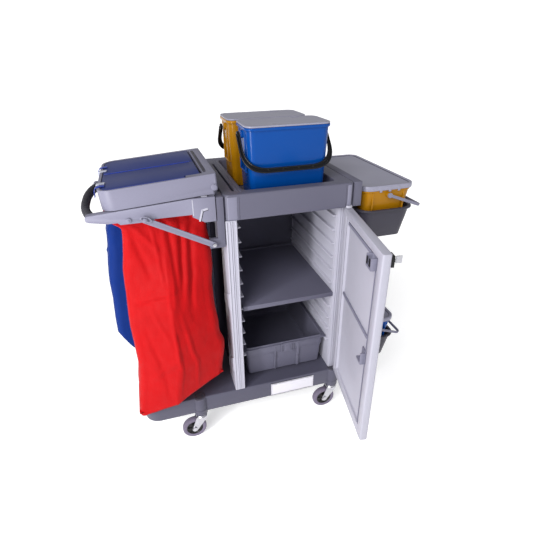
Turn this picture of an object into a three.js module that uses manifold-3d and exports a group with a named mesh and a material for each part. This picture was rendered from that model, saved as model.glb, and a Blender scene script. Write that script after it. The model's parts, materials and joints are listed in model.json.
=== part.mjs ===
// Housekeeping cart: a tray-topped cabinet on a castered base, with a fold-up waste bag holder on its
// left side, two lift-out buckets in the top tray, and two bucket-and-tray units hung on its right side.
// Units are millimetres, +Z is up, the cabinet's open front faces -Y and the bag holder is on the -X side.
// While it is built, x = 0 is the cabinet's left face, y = 0 its front and z = 0 the floor. The finished
// cart is then moved so that the origin is the middle of its footprint, on the floor.
import * as THREE from "three";
import { mergeVertices } from "three/addons/utils/BufferGeometryUtils.js";
import Module from "manifold-3d";

const wasm = await Module();
wasm.setup();

// ---------------------------------------------------------------- driving dimensions

const TOUCH = 0.3; // gap left between pieces that bear on each other
const LEFT = -20; // the cabinet's left side
const WIDTH = 450; // the cabinet's right side
const DEPTH = 537; // cabinet, along y

const BASE = {
  left: -388, right: 450, front: 3, back: 534, bottom: 136, top: 212, wall: 6,
  leftRadius: 60, rightRadius: 20, ribs: [-300, 10, 250], ribWidth: 6,
};
const CASTER = {
  x: [-167, 420], y: [16, 521], bossRadius: 27, bossBottom: 122,
  wheelRadius: 50, trail: 34, treadWidth: 24, stemRadius: 6,
};
const TRAY = {
  bottom: 959, top: 1047, wall: 5, skin: 7, sideLedge: 56, frontLedge: 45, floor: 1001, radius: 22,
  basinRadius: 18, slot: { left: 18, right: 27, front: 40, back: 430, depth: 20 }, ridges: [33, 43],
};
const PANEL = {
  bottom: 212.5, top: 958.5, rightFace: 404, leftFace: 30, backFront: 515, skin: 5,
  column: { left: -17, right: 22, front: 2, back: 117 }, rearColumn: 455, wallOuter: -5,
};
const RUNNER = { first: 355.5, pitch: 56.25, count: 11, reach: 12, height: 6, front: 40, back: 505 };
const SHELF = { front: 20, back: 508, thickness: 18 };
const DRAWER = {
  left: 48, right: 386, front: 60, back: 500, bottom: 225, top: 366, wall: 4, band: 322,
  thinRib: [169, 174], wideRib: [267, 279], pocket: [198, 254], pocketBottom: 318,
};
const DOOR = { hingeX: 432, width: 384, half: 14, bottom: 216, top: 955, openAngle: 79.75 };

const HOLDER = {
  depth: 400, pivotX: -46, pivotZ: 1079, pinRadius: 5.7, armWidth: 26, armBottom: 996, tipX: -443,
  blockLeft: -122, blockRight: -47, lidTilt: 4.2, rimBottom: 998, rimTop: 1012, rimLeft: -396, rimRight: -76,
};
const BRACE = { footX: -60, footZ: 884, headX: -271, headZ: 998, width: 19, thickness: 6 };
const LID_FRAME = { left: -349, right: 12, bottom: -21, top: 43, wall: 9, radius: 45 };
const FLAP = { hinge: -38, hingeZ: 36, left: -338, seam: 206, thickness: 12 };

const BUCKET = {
  width: 300, depth: 168, bottom: 1002.5, top: 1241, taper: 12, wall: 3, rim: 5,
  pivotZ: 1212, padRadius: 13, padDepth: 12, bailReach: 146, bailAngle: 49, bailWidth: 14, bailThickness: 7,
};
const BUCKET_PLACES = { blue: { x: 225, y: 133 }, yellow: { x: 203, y: 310 } };
const SIDE = {
  railRight: 482, trayLeft: 485, trayRight: 716, trayBack: 530, trayTop: 930, trayBottom: 815, trayTaper: 34,
  bucketLeft: 494, bucketRight: 698, bucketFront: 14, bucketBack: 506, bucketBottom: 820, bucketTop: 1002,
  bucketTaper: 30, lidTop: 1020, lidOverhang: 4, bailX: 598, bailZ: 983, bailReach: 150, bailDrop: 21,
  bailWidth: 8, bailThickness: 11, padRadius: 11, lowerBy: 595,
};

// ---------------------------------------------------------------- finishes

const FINISHES = {
  cart_grey: { color: 0x75748a, roughness: 0.5, metalness: 0 },
  light_grey: { color: 0x9c9bb0, roughness: 0.45, metalness: 0 },
  white_panel: { color: 0xc8c6d6, roughness: 0.5, metalness: 0 },
  dark_grey: { color: 0x3c3b46, roughness: 0.55, metalness: 0 },
  lid_grey: { color: 0x8c8b9b, roughness: 0.4, metalness: 0 },
  blue: { color: 0x0d54a6, roughness: 0.35, metalness: 0 },
  flap_blue: { color: 0x3a4a92, roughness: 0.45, metalness: 0 },
  yellow: { color: 0xd69a14, roughness: 0.4, metalness: 0 },
  black: { color: 0x141416, roughness: 0.5, metalness: 0 },
  grip_rubber: { color: 0x4a4a52, roughness: 0.8, metalness: 0 },
  red_cloth: { color: 0xd42028, roughness: 0.85, metalness: 0 },
  blue_cloth: { color: 0x2a50a5, roughness: 0.85, metalness: 0 },
  zinc: { color: 0xb8b8bc, roughness: 0.3, metalness: 1 },
  tyre: { color: 0x6f6c78, roughness: 0.8, metalness: 0 },
};

// ---------------------------------------------------------------- solids

// A closed three.js geometry as a manifold-3d solid, with its shared vertices merged.
function solid(geometry) {
  geometry.deleteAttribute("normal");
  geometry.deleteAttribute("uv");
  const merged = mergeVertices(geometry, 1e-3);
  return new wasm.Manifold(
    new wasm.Mesh({
      numProp: 3,
      vertProperties: new Float32Array(merged.attributes.position.array),
      triVerts: new Uint32Array(merged.index.array),
    }),
  );
}

function block(x0, x1, y0, y1, z0, z1) {
  const box = new THREE.BoxGeometry(x1 - x0, y1 - y0, z1 - z0);
  return solid(box.translate((x0 + x1) / 2, (y0 + y1) / 2, (z0 + z1) / 2));
}

// An outline with round corners, in the two coordinates of whichever plane it is used in.
function rounded(a0, a1, b0, b1, radius) {
  const shape = new THREE.Shape();
  const quarter = Math.PI / 2;
  shape.absarc(a1 - radius, b0 + radius, radius, -quarter, 0);
  shape.absarc(a1 - radius, b1 - radius, radius, 0, quarter);
  shape.absarc(a0 + radius, b1 - radius, radius, quarter, 2 * quarter);
  shape.absarc(a0 + radius, b0 + radius, radius, 2 * quarter, 3 * quarter);
  return shape;
}

function polygon(points) {
  return new THREE.Shape(points.map(([a, b]) => new THREE.Vector2(a, b)));
}

function disc(a, b, radius) {
  return new THREE.Shape().absarc(a, b, radius, 0, 2 * Math.PI);
}

// A shape pulled from one coordinate to another: along z it is drawn in (x, y), along y in (x, z), along x
// in (y, z).
function prism(shape, axis, from, to, segments = 2) {
  const unit = {
    x: [[0, 1, 0], [0, 0, 1], [1, 0, 0]],
    y: [[1, 0, 0], [0, 0, 1], [0, -1, 0]],
    z: [[1, 0, 0], [0, 1, 0], [0, 0, 1]],
  }[axis].map((v) => new THREE.Vector3(...v));
  const geometry = new THREE.ExtrudeGeometry(shape, {
    depth: to - from, bevelEnabled: false, curveSegments: segments,
  });
  geometry.applyMatrix4(new THREE.Matrix4().makeBasis(...unit));
  const start = axis === "y" ? to : from;
  geometry.translate(axis === "x" ? start : 0, axis === "y" ? start : 0, axis === "z" ? start : 0);
  return solid(geometry);
}

function rod(axis, a, b, radius, from, to, segments = 6) {
  return prism(disc(a, b, radius), axis, from, to, segments);
}

// A rounded box that narrows by inset on every side from its top to its bottom.
function frustum([x0, x1, y0, y1], bottom, top, inset, radius, segments = 2) {
  const geometry = new THREE.ExtrudeGeometry(rounded(x0, x1, y0, y1, radius), {
    depth: top - bottom, bevelEnabled: false, curveSegments: segments,
  }).translate(0, 0, bottom);
  const middle = [(x0 + x1) / 2, (y0 + y1) / 2];
  const half = [(x1 - x0) / 2, (y1 - y0) / 2];
  const p = geometry.attributes.position;
  for (let i = 0; i < p.count; i++) {
    const k = (inset * (top - p.getZ(i))) / (top - bottom);
    p.setX(i, middle[0] + (p.getX(i) - middle[0]) * (1 - k / half[0]));
    p.setY(i, middle[1] + (p.getY(i) - middle[1]) * (1 - k / half[1]));
  }
  return solid(geometry);
}

function shrunk([x0, x1, y0, y1], by) {
  return [x0 + by, x1 - by, y0 + by, y1 - by];
}

// An open tub: a frustum with a thinner one taken out from above.
function tub(box, bottom, top, inset, radius, wall, floor = wall) {
  const outer = frustum(box, bottom, top, inset, radius);
  const inner = frustum(shrunk(box, wall), bottom + floor, top + 1, inset, radius - wall);
  return outer.subtract(inner);
}

// A section swept along a curve.
function sweep(curve, section, steps, segments = 1) {
  return solid(new THREE.ExtrudeGeometry(section, { extrudePath: curve, steps, curveSegments: segments }));
}

// A body of revolution about the y axis, through (x, z), from a closed profile of [radius, y].
function turned(profile, x, y, z, segments = 24) {
  const points = [...profile, profile[0]].map(([r, h]) => new THREE.Vector2(r, h));
  return solid(new THREE.LatheGeometry(points, segments).translate(x, y, z));
}

function join(first, ...others) {
  return others.reduce((sum, other) => sum.add(other), first);
}

function cut(first, ...others) {
  return others.reduce((left, other) => left.subtract(other), first);
}

// A solid as a named three.js mesh.
function part(name, body, finish) {
  const { vertProperties, triVerts } = body.getMesh();
  const geometry = new THREE.BufferGeometry()
    .setAttribute("position", new THREE.BufferAttribute(new Float32Array(vertProperties), 3))
    .setIndex(new THREE.BufferAttribute(new Uint32Array(triVerts), 1));
  geometry.computeVertexNormals();
  const mesh = new THREE.Mesh(geometry, new THREE.MeshStandardMaterial(FINISHES[finish]));
  mesh.name = name;
  return mesh;
}

function group(...children) {
  const made = new THREE.Group();
  made.add(...children);
  return made;
}

const radians = THREE.MathUtils.degToRad;

// ---------------------------------------------------------------- base and casters

// The platform's outline, drawn in by a distance; its left corners are rounder than its right ones.
function baseOutline(inset) {
  const b = BASE;
  const shape = new THREE.Shape();
  const corner = (x, y, radius, quarter) =>
    shape.absarc(x, y, radius - inset, quarter * Math.PI / 2, (quarter + 1) * Math.PI / 2);
  corner(b.left + b.leftRadius, b.back - b.leftRadius, b.leftRadius, 1);
  corner(b.left + b.leftRadius, b.front + b.leftRadius, b.leftRadius, 2);
  corner(b.right - b.rightRadius, b.front + b.rightRadius, b.rightRadius, 3);
  corner(b.right - b.rightRadius, b.back - b.rightRadius, b.rightRadius, 0);
  return shape;
}

// A shallow moulded platform, open underneath, with a boss for each caster stem and the door's lower pin.
function basePlatform() {
  const b = BASE;
  let body = prism(baseOutline(0), "z", b.bottom, b.top, 4);
  body = body.subtract(prism(baseOutline(b.wall), "z", b.bottom - 1, b.top - b.wall, 4));
  for (const x of b.ribs)
    body = body.add(block(x, x + b.ribWidth, b.front + 3, b.back - 3, b.bottom + 10, b.top - 3));
  for (const x of CASTER.x)
    for (const y of CASTER.y) {
      body = body.add(rod("z", x, y, CASTER.bossRadius, CASTER.bossBottom, b.top + 0.4, 10));
      body = body.subtract(rod("z", x, y, CASTER.stemRadius + 0.5, CASTER.bossBottom - 1, 170));
    }
  return body.add(rod("z", DOOR.hingeX, 0, 5, b.top - 4, DOOR.bottom + 12));
}

// The caster is built about its swivel axis, with the wheel trailing towards -x.
function caster(place) {
  const { wheelRadius: R, trail, treadWidth, stemRadius, bossBottom } = CASTER;
  const halfGap = treadWidth / 2 + 1.5;
  const legThickness = 3;
  const leg = polygon([[-24, 110], [20, 110], [20, 102], [-trail + 13, 44], [-trail + 8, 38],
    [-trail - 8, 38], [-trail - 13, 46]]);
  let fork = join(
    rod("z", 0, 0, 23, 103.5, 112, 8),
    rod("z", 0, 0, 18, 111, bossBottom - TOUCH, 8),
    rod("z", 0, 0, stemRadius, bossBottom - 2, 160),
    prism(leg, "y", halfGap, halfGap + legThickness),
    prism(leg, "y", -halfGap - legThickness, -halfGap),
    block(-24, 20, -halfGap - 1, halfGap + 1, 103.5, 110),
  );
  fork = fork.subtract(rod("y", -trail, R, 6.3, -30, 30));
  const nut = halfGap + legThickness + TOUCH;
  const axle = join(
    rod("y", -trail, R, 6, -nut - 5, nut + 5),
    rod("y", -trail, R, 9.5, nut, nut + 5, 3),
    rod("y", -trail, R, 9.5, -nut - 5, -nut, 3),
  );
  const w = treadWidth / 2;
  const tyre = turned([[34, -w + 1], [45, -w], [49, -w + 3], [R, 0], [49, w - 3], [45, w], [34, w - 1]],
    -trail, 0, R);
  const hub = turned([[6.2, -w], [13, -w], [16, -w + 5], [33.7, -w + 3], [33.7, w - 3], [16, w - 5],
    [13, w], [6.2, w]], -trail, 0, R, 16);
  return group(
    part(place + "_caster_fork", fork, "zinc"),
    part(place + "_caster_axle", axle, "zinc"),
    part(place + "_caster_tyre", tyre, "tyre"),
    part(place + "_caster_hub", hub, "black"),
  );
}

function casters() {
  const made = new THREE.Group();
  for (const [i, side] of ["left", "right"].entries())
    for (const [j, end] of ["front", "rear"].entries()) {
      const one = caster(end + "_" + side);
      one.position.set(CASTER.x[i], CASTER.y[j], 0);
      made.add(one);
    }
  return made;
}

// ---------------------------------------------------------------- cabinet

// Pairs of runners stand proud of each side wall, one row every RUNNER.pitch.
function runners(x0, x1) {
  return Array.from({ length: RUNNER.count }, (_, i) => {
    const top = RUNNER.first + i * RUNNER.pitch;
    return block(x0, x1, RUNNER.front, RUNNER.back, top - RUNNER.height, top);
  });
}

// The wall stands between two hollow columns that reach further out than it does.
function leftSidePanel() {
  const { bottom, top, leftFace, backFront, skin, column, rearColumn, wallOuter } = PANEL;
  const back = backFront - TOUCH;
  const solidParts = [
    block(wallOuter, leftFace, 36, back, bottom, top),
    block(column.left, column.right, column.front, column.back, bottom, top),
    block(column.left, leftFace, rearColumn, back, bottom, top),
    ...runners(leftFace - 2, leftFace + RUNNER.reach),
  ];
  const [low, high] = [bottom - 1, top - skin];
  return cut(
    join(...solidParts),
    block(wallOuter + skin, leftFace - skin, 42, back - skin, low, high),
    block(column.left + skin, column.right - skin, column.front + skin, column.back - skin, low, high),
    block(column.left + skin, leftFace - skin, rearColumn + skin, back - skin, low, high),
  );
}

function rightSidePanel() {
  const { bottom, top, rightFace, backFront } = PANEL;
  const wall = block(rightFace, WIDTH - TOUCH, 20, backFront - TOUCH, bottom, top);
  const hollow = block(rightFace + 6, WIDTH - 6, 28, backFront - 8, bottom - 1, top - 6);
  return join(wall, ...runners(rightFace - RUNNER.reach, rightFace + 2)).subtract(hollow);
}

// A plate with a turned-in edge all round; its outer face is the back of the cart.
function backPanel() {
  const { bottom, top, backFront } = PANEL;
  const plate = block(LEFT + TOUCH, WIDTH - TOUCH, backFront, DEPTH, bottom, top);
  const hollow = block(LEFT + 14, WIDTH - 14, backFront - 1, DEPTH - 6, bottom + 14, top - 14);
  return plate.subtract(hollow);
}

// The top is a hollow moulding with a deep basin for the buckets, a slot in its left ledge and a lug for the
// door's upper pin.
function topTray() {
  const t = TRAY;
  const opening = [t.sideLedge, WIDTH - t.sideLedge, t.frontLedge, DEPTH - t.frontLedge];
  const outer = [LEFT, WIDTH, 0, DEPTH];
  let body = prism(rounded(...outer, t.radius), "z", t.bottom, t.top);
  const under = rounded(...shrunk(outer, t.wall), t.radius - t.wall);
  body = body.subtract(prism(under, "z", t.bottom - 1, t.top - t.skin));
  body = body.add(prism(rounded(...shrunk(opening, -t.wall), 23), "z", t.floor - 5, t.top - 1));
  body = body.subtract(prism(rounded(...opening, t.basinRadius), "z", t.floor, t.top + 1));
  for (const x of t.ridges)
    body = body.add(block(x, x + 4, 30, DEPTH - 30, t.top - 1, t.top + 1.5));
  const slot = rounded(t.slot.left, t.slot.right, t.slot.front, t.slot.back, 4);
  body = body.subtract(prism(slot, "z", t.top - t.slot.depth, t.top + 1));
  for (const x of [32, WIDTH - 33])
    body = body.subtract(block(x, x + 1.5, -1, 1.2, t.bottom - 1, t.top - 4));
  const plate = rounded(DOOR.hingeX - 12, DOOR.hingeX + 12, -9, 15, 7);
  const lug = prism(plate, "z", t.bottom - 1.5, t.bottom + 9);
  return join(body, lug, rod("z", DOOR.hingeX, 0, 5, DOOR.top - 12, t.bottom + 2));
}

function shelf() {
  const left = PANEL.leftFace + 5;
  const right = PANEL.rightFace - 1.5;
  const bottom = RUNNER.first + 4 * RUNNER.pitch + TOUCH;
  const slab = block(left, right, SHELF.front, SHELF.back, bottom, bottom + SHELF.thickness);
  const under = block(left + 14, right - 14, SHELF.front + 6, SHELF.back - 6, bottom - 1,
    bottom + SHELF.thickness - 5);
  const lip = block(left, right, SHELF.back - 6, SHELF.back, bottom + 10, bottom + SHELF.thickness + 8);
  return slab.subtract(under).add(lip);
}

// A tote whose rim runs on the lowest pair of runners, with a ribbed front and a square handle recess.
function drawer() {
  const d = DRAWER;
  const box = [d.left, d.right, d.front, d.back];
  const rimBottom = RUNNER.first + TOUCH;
  const inside = (from) => prism(rounded(...shrunk(box, d.wall), 10), "z", from, d.top);
  const rim = prism(rounded(36, 400, d.front - 8, d.back + 6, 12), "z", rimBottom, rimBottom + 4);
  const band = prism(rounded(...shrunk(box, -2), 16), "z", d.band, rimBottom + 1);
  let body = join(
    tub(box, d.bottom, d.top, 8, 14, d.wall),
    rim.subtract(inside(rimBottom - 1)),
    band.subtract(inside(d.band - 1)),
    block(...d.pocket, d.front - 7, d.front + 2, d.pocketBottom, d.top - 4),
  );
  for (const [x0, x1] of [d.thinRib, d.wideRib]) {
    body = body.add(block(x0, x1, d.front, d.front + 10, d.bottom + 3, d.bottom + 67));
    body = body.add(block(x0, x1, d.front - 4, d.front + 4, d.bottom + 65, d.top - 4));
  }
  const [left, right] = d.pocket;
  for (const x of [left + 4, right - 10])
    body = body.subtract(block(x, x + 6, d.front - 8, d.front - 3, d.pocketBottom + 4, d.top));
  return body;
}

// ---------------------------------------------------------------- door

// The door is built closed, about its hinge line, and then turned open. Its inner face is towards +y.
function door() {
  const { width, half, bottom, top } = DOOR;
  const plan = new THREE.Shape();
  plan.absarc(0, 0, half, -Math.PI / 2, Math.PI / 2);
  plan.lineTo(-width + 6, half);
  plan.absarc(-width + 6, half - 6, 6, Math.PI / 2, Math.PI);
  plan.absarc(-width + 6, 6 - half, 6, Math.PI, 1.5 * Math.PI);
  const floor = half - 8; // depth of the panel inside the raised edge
  let panel = prism(plan, "z", bottom, top);
  panel = panel.subtract(prism(rounded(-350, -44, bottom + 40, top - 28, 5), "y", floor, half + 1));
  panel = panel.subtract(block(-30, -24, half - 3, half + 1, bottom + 20, top - 20));
  for (const [z, end] of [[633, -330], [917, -290]])
    panel = panel.add(block(end, -50, floor - 1, half - 1, z - 5, z + 5));
  for (const [z0, z1] of [[bottom - 1, bottom + 14], [top - 14, top + 1]])
    panel = panel.subtract(rod("z", 0, 0, 5.4, z0, z1));

  const lock = join(
    block(-382, -352, -half - 9, -half - TOUCH, 912, 948),
    rod("y", -367, 930, 9, -half - 13, -half - 8),
  ).subtract(rod("y", -367, 930, 3, -half - 14, -half - 4));
  const bow = prism(rounded(-368.4, -365.6, 918, 942, 1.2), "y", -half - 36, -half - 18);
  const key = bow.add(rod("y", -367, 930, 2.6, -half - 20, -half - 5));
  const upperClip = join(
    block(-345, -299, floor + TOUCH, floor + 5, 883, 924),
    block(-345, -339, floor + 4, half + 17, 883, 924),
    block(-305, -299, floor + 4, half + 17, 883, 924),
    block(-345, -299, floor + 4, half + 17, 883, 891),
  );
  const lowerClip = join(
    block(-340, -300, floor + TOUCH, floor + 5, 528, 574),
    block(-340, -334, floor + 4, half + 15, 528, 574),
    block(-340, -300, floor + 4, half + 15, 528, 536),
  );
  const made = group(
    part("door_panel", panel, "white_panel"),
    part("door_lock", lock, "black"),
    part("door_key", key, "zinc"),
    part("door_upper_clip", upperClip, "light_grey"),
    part("door_lower_clip", lowerClip, "light_grey"),
  );
  made.position.x = DOOR.hingeX;
  made.rotation.z = radians(DOOR.openAngle);
  return made;
}

// ---------------------------------------------------------------- waste bag holder

// Everything at the holder's front is repeated, mirrored, at its rear.
function mirrored(body) {
  return body.mirror([0, 1, 0]).translate([0, HOLDER.depth, 0]);
}

// A post on the cabinet's side, with the ear that holds the hinge pin and a stub for the brace's foot.
function holderPost() {
  const { pivotX: x, pivotZ: z } = HOLDER;
  const { footX, footZ } = BRACE;
  const ear = polygon([[x - 12, z], [x + 1.5, 1052], [x + 1.5, 1040], [x + 12, 1040], [x + 12, z]]);
  let body = join(
    block(-44, LEFT - TOUCH, 1, 58, 868, 1045),
    block(footX - 14, -40, 1, 14, 868, 902),
    prism(ear, "y", 23, 35),
    rod("y", x, z, 12, 23, 35),
    rod("y", footX, footZ, 4, -9, 4),
    rod("y", footX, footZ, 6.5, -12, -8.6),
  );
  body = body.subtract(rod("y", x, z, HOLDER.pinRadius + 0.3, 20, 40));
  return body;
}

// The pin joins the lid frame's skirt, the arm's ear and the post's ear.
function holderPin() {
  const { pivotX: x, pivotZ: z, pinRadius } = HOLDER;
  return join(rod("y", x, z, pinRadius, -1, 38), rod("y", x, z, 9, -2.5, 1.6));
}

// A tapered arm that ends in a thick block with an ear on the hinge pin.
function holderArm() {
  const h = HOLDER;
  const side = new THREE.Shape();
  side.moveTo(h.blockLeft + 4, h.armBottom);
  side.lineTo(h.blockLeft + 4, 1049);
  side.lineTo(h.tipX + 8, 1027);
  side.quadraticCurveTo(h.tipX, 1026, h.tipX, 1017);
  side.quadraticCurveTo(h.tipX, 1008, h.tipX + 10, 1006);
  side.lineTo(-380, h.armBottom);
  side.lineTo(-352, h.armBottom);
  side.lineTo(-344, 989);
  side.lineTo(-250, 989);
  side.lineTo(-238, h.armBottom);
  const blockSide = polygon([[h.blockRight, 1049], [h.blockLeft, 1049], [h.blockLeft, 988],
    [-84, 966], [h.blockRight, 966]]);
  const ear = polygon([[h.pivotX - 24, 1048], [h.pivotX - 1, 1048], [h.pivotX + 12, h.pivotZ],
    [h.pivotX - 12, h.pivotZ]]);
  const body = join(
    prism(side, "y", 0, h.armWidth),
    prism(blockSide, "y", -2, h.armWidth),
    prism(ear, "y", 12, 22),
    rod("y", h.pivotX, h.pivotZ, 12, 12, 22),
    rod("y", -319, 999, 7, -2, 2, 6),
  );
  return body.subtract(rod("y", h.pivotX, h.pivotZ, h.pinRadius + 0.3, 5, 30));
}

// The bowed grip between the arms' tips.
function holderGrip() {
  const inset = HOLDER.armWidth + TOUCH;
  const back = HOLDER.depth - inset;
  const bow = new THREE.CatmullRomCurve3(
    [[-426, inset], [-436, 52], [-450, 120], [-454, 200], [-450, 280], [-436, 348], [-426, back]].map(
      ([x, y]) => new THREE.Vector3(x, y, 1014)),
  );
  const section = new THREE.Shape().absellipse(0, 0, 12.5, 15, 0, 2 * Math.PI);
  const ends = block(-470, -400, inset, back, 990, 1040);
  return sweep(bow, section, 16, 5).intersect(ends);
}

// A flat double hoop that the two bags hang from.
function bagRim() {
  const h = HOLDER;
  const front = h.armWidth + TOUCH;
  const outer = prism(rounded(h.rimLeft, h.rimRight, front, h.depth - front, 24), "z", h.rimBottom, h.rimTop);
  const middle = h.depth / 2;
  const holes = [[front + 11, middle - 6], [middle + 6, h.depth - front - 11]].map(([y0, y1]) =>
    prism(rounded(h.rimLeft + 11, h.rimRight - 11, y0, y1, 14), "z", h.rimBottom - 1, h.rimTop + 1));
  return cut(outer, ...holes);
}

function holderBrace() {
  const { footX, footZ, headX, headZ, width, thickness } = BRACE;
  const back = -2.4;
  const front = back - thickness;
  const along = new THREE.Vector2(headX - footX, headZ - footZ).normalize();
  const across = new THREE.Vector2(-along.y, along.x).multiplyScalar(width / 2);
  const bar = polygon([[footX + across.x, footZ + across.y], [headX + across.x, headZ + across.y],
    [headX - across.x, headZ - across.y], [footX - across.x, footZ - across.y]]);
  const body = join(
    prism(bar, "y", front, back),
    rod("y", footX, footZ, width / 2, front, back, 8),
    rod("y", headX, headZ, width / 2, front, back, 8),
    rod("y", headX, headZ, 8, front - 5, front + 1, 8),
  );
  return body.subtract(rod("y", footX, footZ, 4.4, front - 1, back + 1));
}

// The lid frame is a deep skirt with a ledge for the flaps, built about the hinge pin.
function lidFrame() {
  const f = LID_FRAME;
  const box = [f.left, f.right, 2, HOLDER.depth - 2];
  const plan = (inset, r) => {
    const [x0, x1, y0, y1] = shrunk(box, inset);
    const shape = new THREE.Shape();
    shape.absarc(x1 - 8, y0 + 8, 8, -Math.PI / 2, 0);
    shape.absarc(x1 - 8, y1 - 8, 8, 0, Math.PI / 2);
    shape.absarc(x0 + r, y1 - r, r, Math.PI / 2, Math.PI);
    shape.absarc(x0 + r, y0 + r, r, Math.PI, 1.5 * Math.PI);
    return shape;
  };
  let body = prism(plan(0, f.radius), "z", f.bottom, f.top, 4);
  body = body.subtract(prism(plan(f.wall, f.radius - f.wall), "z", f.bottom - 1, f.top + 1, 4));
  const ledge = prism(plan(f.wall - 1, f.radius - f.wall), "z", 22, 28, 3);
  body = body.add(ledge.subtract(prism(plan(f.wall + 11, f.radius - f.wall - 11), "z", 21, 29, 3)));
  const beam = block(-26, f.right - 2, 8, HOLDER.depth - 8, 18, f.top);
  const slot = prism(rounded(-18, -12, 60, HOLDER.depth - 60, 2.5), "z", 30, f.top + 1);
  body = body.add(beam.subtract(slot));
  body = body.add(block(-80, -24, 10, 30, 22, f.top));
  const clear = block(f.right - f.wall - 14, f.right + 1, 12, HOLDER.depth - 12, f.bottom - 1, 18);
  const mount = block(f.right - 16, f.right + 1, -1, HOLDER.depth + 1, f.bottom - 1, -11);
  return cut(body, clear, mount, rod("y", 0, 0, HOLDER.pinRadius + 0.3, -5, HOLDER.depth + 5));
}

// A flap's hinge barrel lies on its own axis at the cabinet end.
function flap(y0, y1, notch) {
  const { hinge, hingeZ, left, thickness } = FLAP;
  const half = thickness / 2;
  const plan = rounded(left, hinge, 13, HOLDER.depth - 13, LID_FRAME.radius - 10);
  let body = prism(plan, "z", hingeZ - half, hingeZ + half, 3);
  body = body.intersect(block(left, hinge, y0, y1, 0, 60));
  body = body.add(block(hinge - 20, hinge, y0, y1, hingeZ - half, hingeZ + half));
  body = body.add(rod("y", hinge, hingeZ, half, y0, y1, 8));
  if (notch) body = body.subtract(block(-84, 0, y0 - 1, 34, 0, 60));
  return body;
}

// A hanging sack with an open top: its section is a rounded box whose sides follow the four edge functions
// as t runs from 0 at the rim to 1 at the bottom. Its bottom slopes from the left side to the right.
function sack({ left, right, front, back, top, bottomLeft, bottomRight }) {
  const wall = 5;
  const levels = 9;
  const form = (inset, start) => {
    const geometry = new THREE.ExtrudeGeometry(rounded(-1, 1, -1, 1, 0.45), {
      depth: 1, steps: levels, bevelEnabled: false, curveSegments: 2,
    });
    const p = geometry.attributes.position;
    for (let i = 0; i < p.count; i++) {
      const t = p.getZ(i);
      const [x0, x1] = [left(t) + inset, right(t) - inset];
      const [y0, y1] = [front(t) + inset, back(t) - inset];
      // t runs downwards, so u is mirrored to keep the faces turned outwards
      const u = (1 - p.getX(i)) / 2;
      const v = (p.getY(i) + 1) / 2;
      const bottom = THREE.MathUtils.lerp(bottomLeft, bottomRight, u) + inset;
      p.setXYZ(i, x0 + (x1 - x0) * u, y0 + (y1 - y0) * v, THREE.MathUtils.lerp(start, bottom, t));
    }
    return solid(geometry);
  };
  return form(0, top).subtract(form(wall, top + 1));
}

function ramp(from, to, t0, t1) {
  return (t) => THREE.MathUtils.lerp(from, to, THREE.MathUtils.smoothstep(t, t0, t1));
}

// A sum of ramps, each given as its change and the two values of t between which it happens.
function edge(start, ...steps) {
  return (t) => steps.reduce((sum, [change, t0, t1]) => sum + ramp(0, change, t0, t1)(t), start);
}

function redBag() {
  const { rimLeft, rimRight, armWidth, depth, rimBottom } = HOLDER;
  return sack({
    left: edge(rimLeft + 49, [-22, 0, 0.25], [-7, 0.25, 0.5], [4, 0.5, 0.7], [-28, 0.7, 1]),
    right: edge(rimRight + 3, [8, 0.08, 0.2], [-8, 0.3, 0.42], [9, 0.5, 0.7], [16, 0.7, 0.8], [-17, 0.8, 1]),
    front: ramp(armWidth + 2, -42, 0.15, 0.7),
    back: () => depth / 2 - 8,
    top: rimBottom - 0.5,
    bottomLeft: 217, bottomRight: 345,
  });
}

function blueBag() {
  const { rimLeft, rimRight, armWidth, depth, rimBottom } = HOLDER;
  return sack({
    left: edge(rimLeft + 11, [-31, 0.08, 0.22], [-24, 0.22, 0.6], [-8, 0.6, 0.9]),
    right: edge(rimRight - 4, [10, 0.5, 1]),
    front: () => depth / 2 + 8,
    back: edge(depth - armWidth - 2, [14, 0.2, 0.8]),
    top: rimBottom - 0.5,
    bottomLeft: 385, bottomRight: 230,
  });
}

function bagHolder() {
  const lids = group(
    part("lid_frame", lidFrame(), "light_grey"),
    part("front_lid", flap(13, FLAP.seam - 2, true), "flap_blue"),
    part("rear_lid", flap(FLAP.seam + 2, HOLDER.depth - 13, false), "flap_blue"),
  );
  lids.position.set(HOLDER.pivotX, 0, HOLDER.pivotZ);
  lids.rotation.y = -radians(HOLDER.lidTilt);
  return group(
    lids,
    part("holder_front_post", holderPost(), "cart_grey"),
    part("holder_rear_post", mirrored(holderPost()), "cart_grey"),
    part("holder_front_pin", holderPin(), "light_grey"),
    part("holder_rear_pin", mirrored(holderPin()), "light_grey"),
    part("holder_front_arm", holderArm(), "light_grey"),
    part("holder_rear_arm", mirrored(holderArm()), "light_grey"),
    part("holder_grip", holderGrip(), "grip_rubber"),
    part("bag_rim", bagRim(), "cart_grey"),
    part("front_brace", holderBrace(), "light_grey"),
    part("rear_brace", mirrored(holderBrace()), "light_grey"),
    part("red_bag", redBag(), "red_cloth"),
    part("blue_bag", blueBag(), "blue_cloth"),
  );
}

// ---------------------------------------------------------------- top buckets

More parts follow.
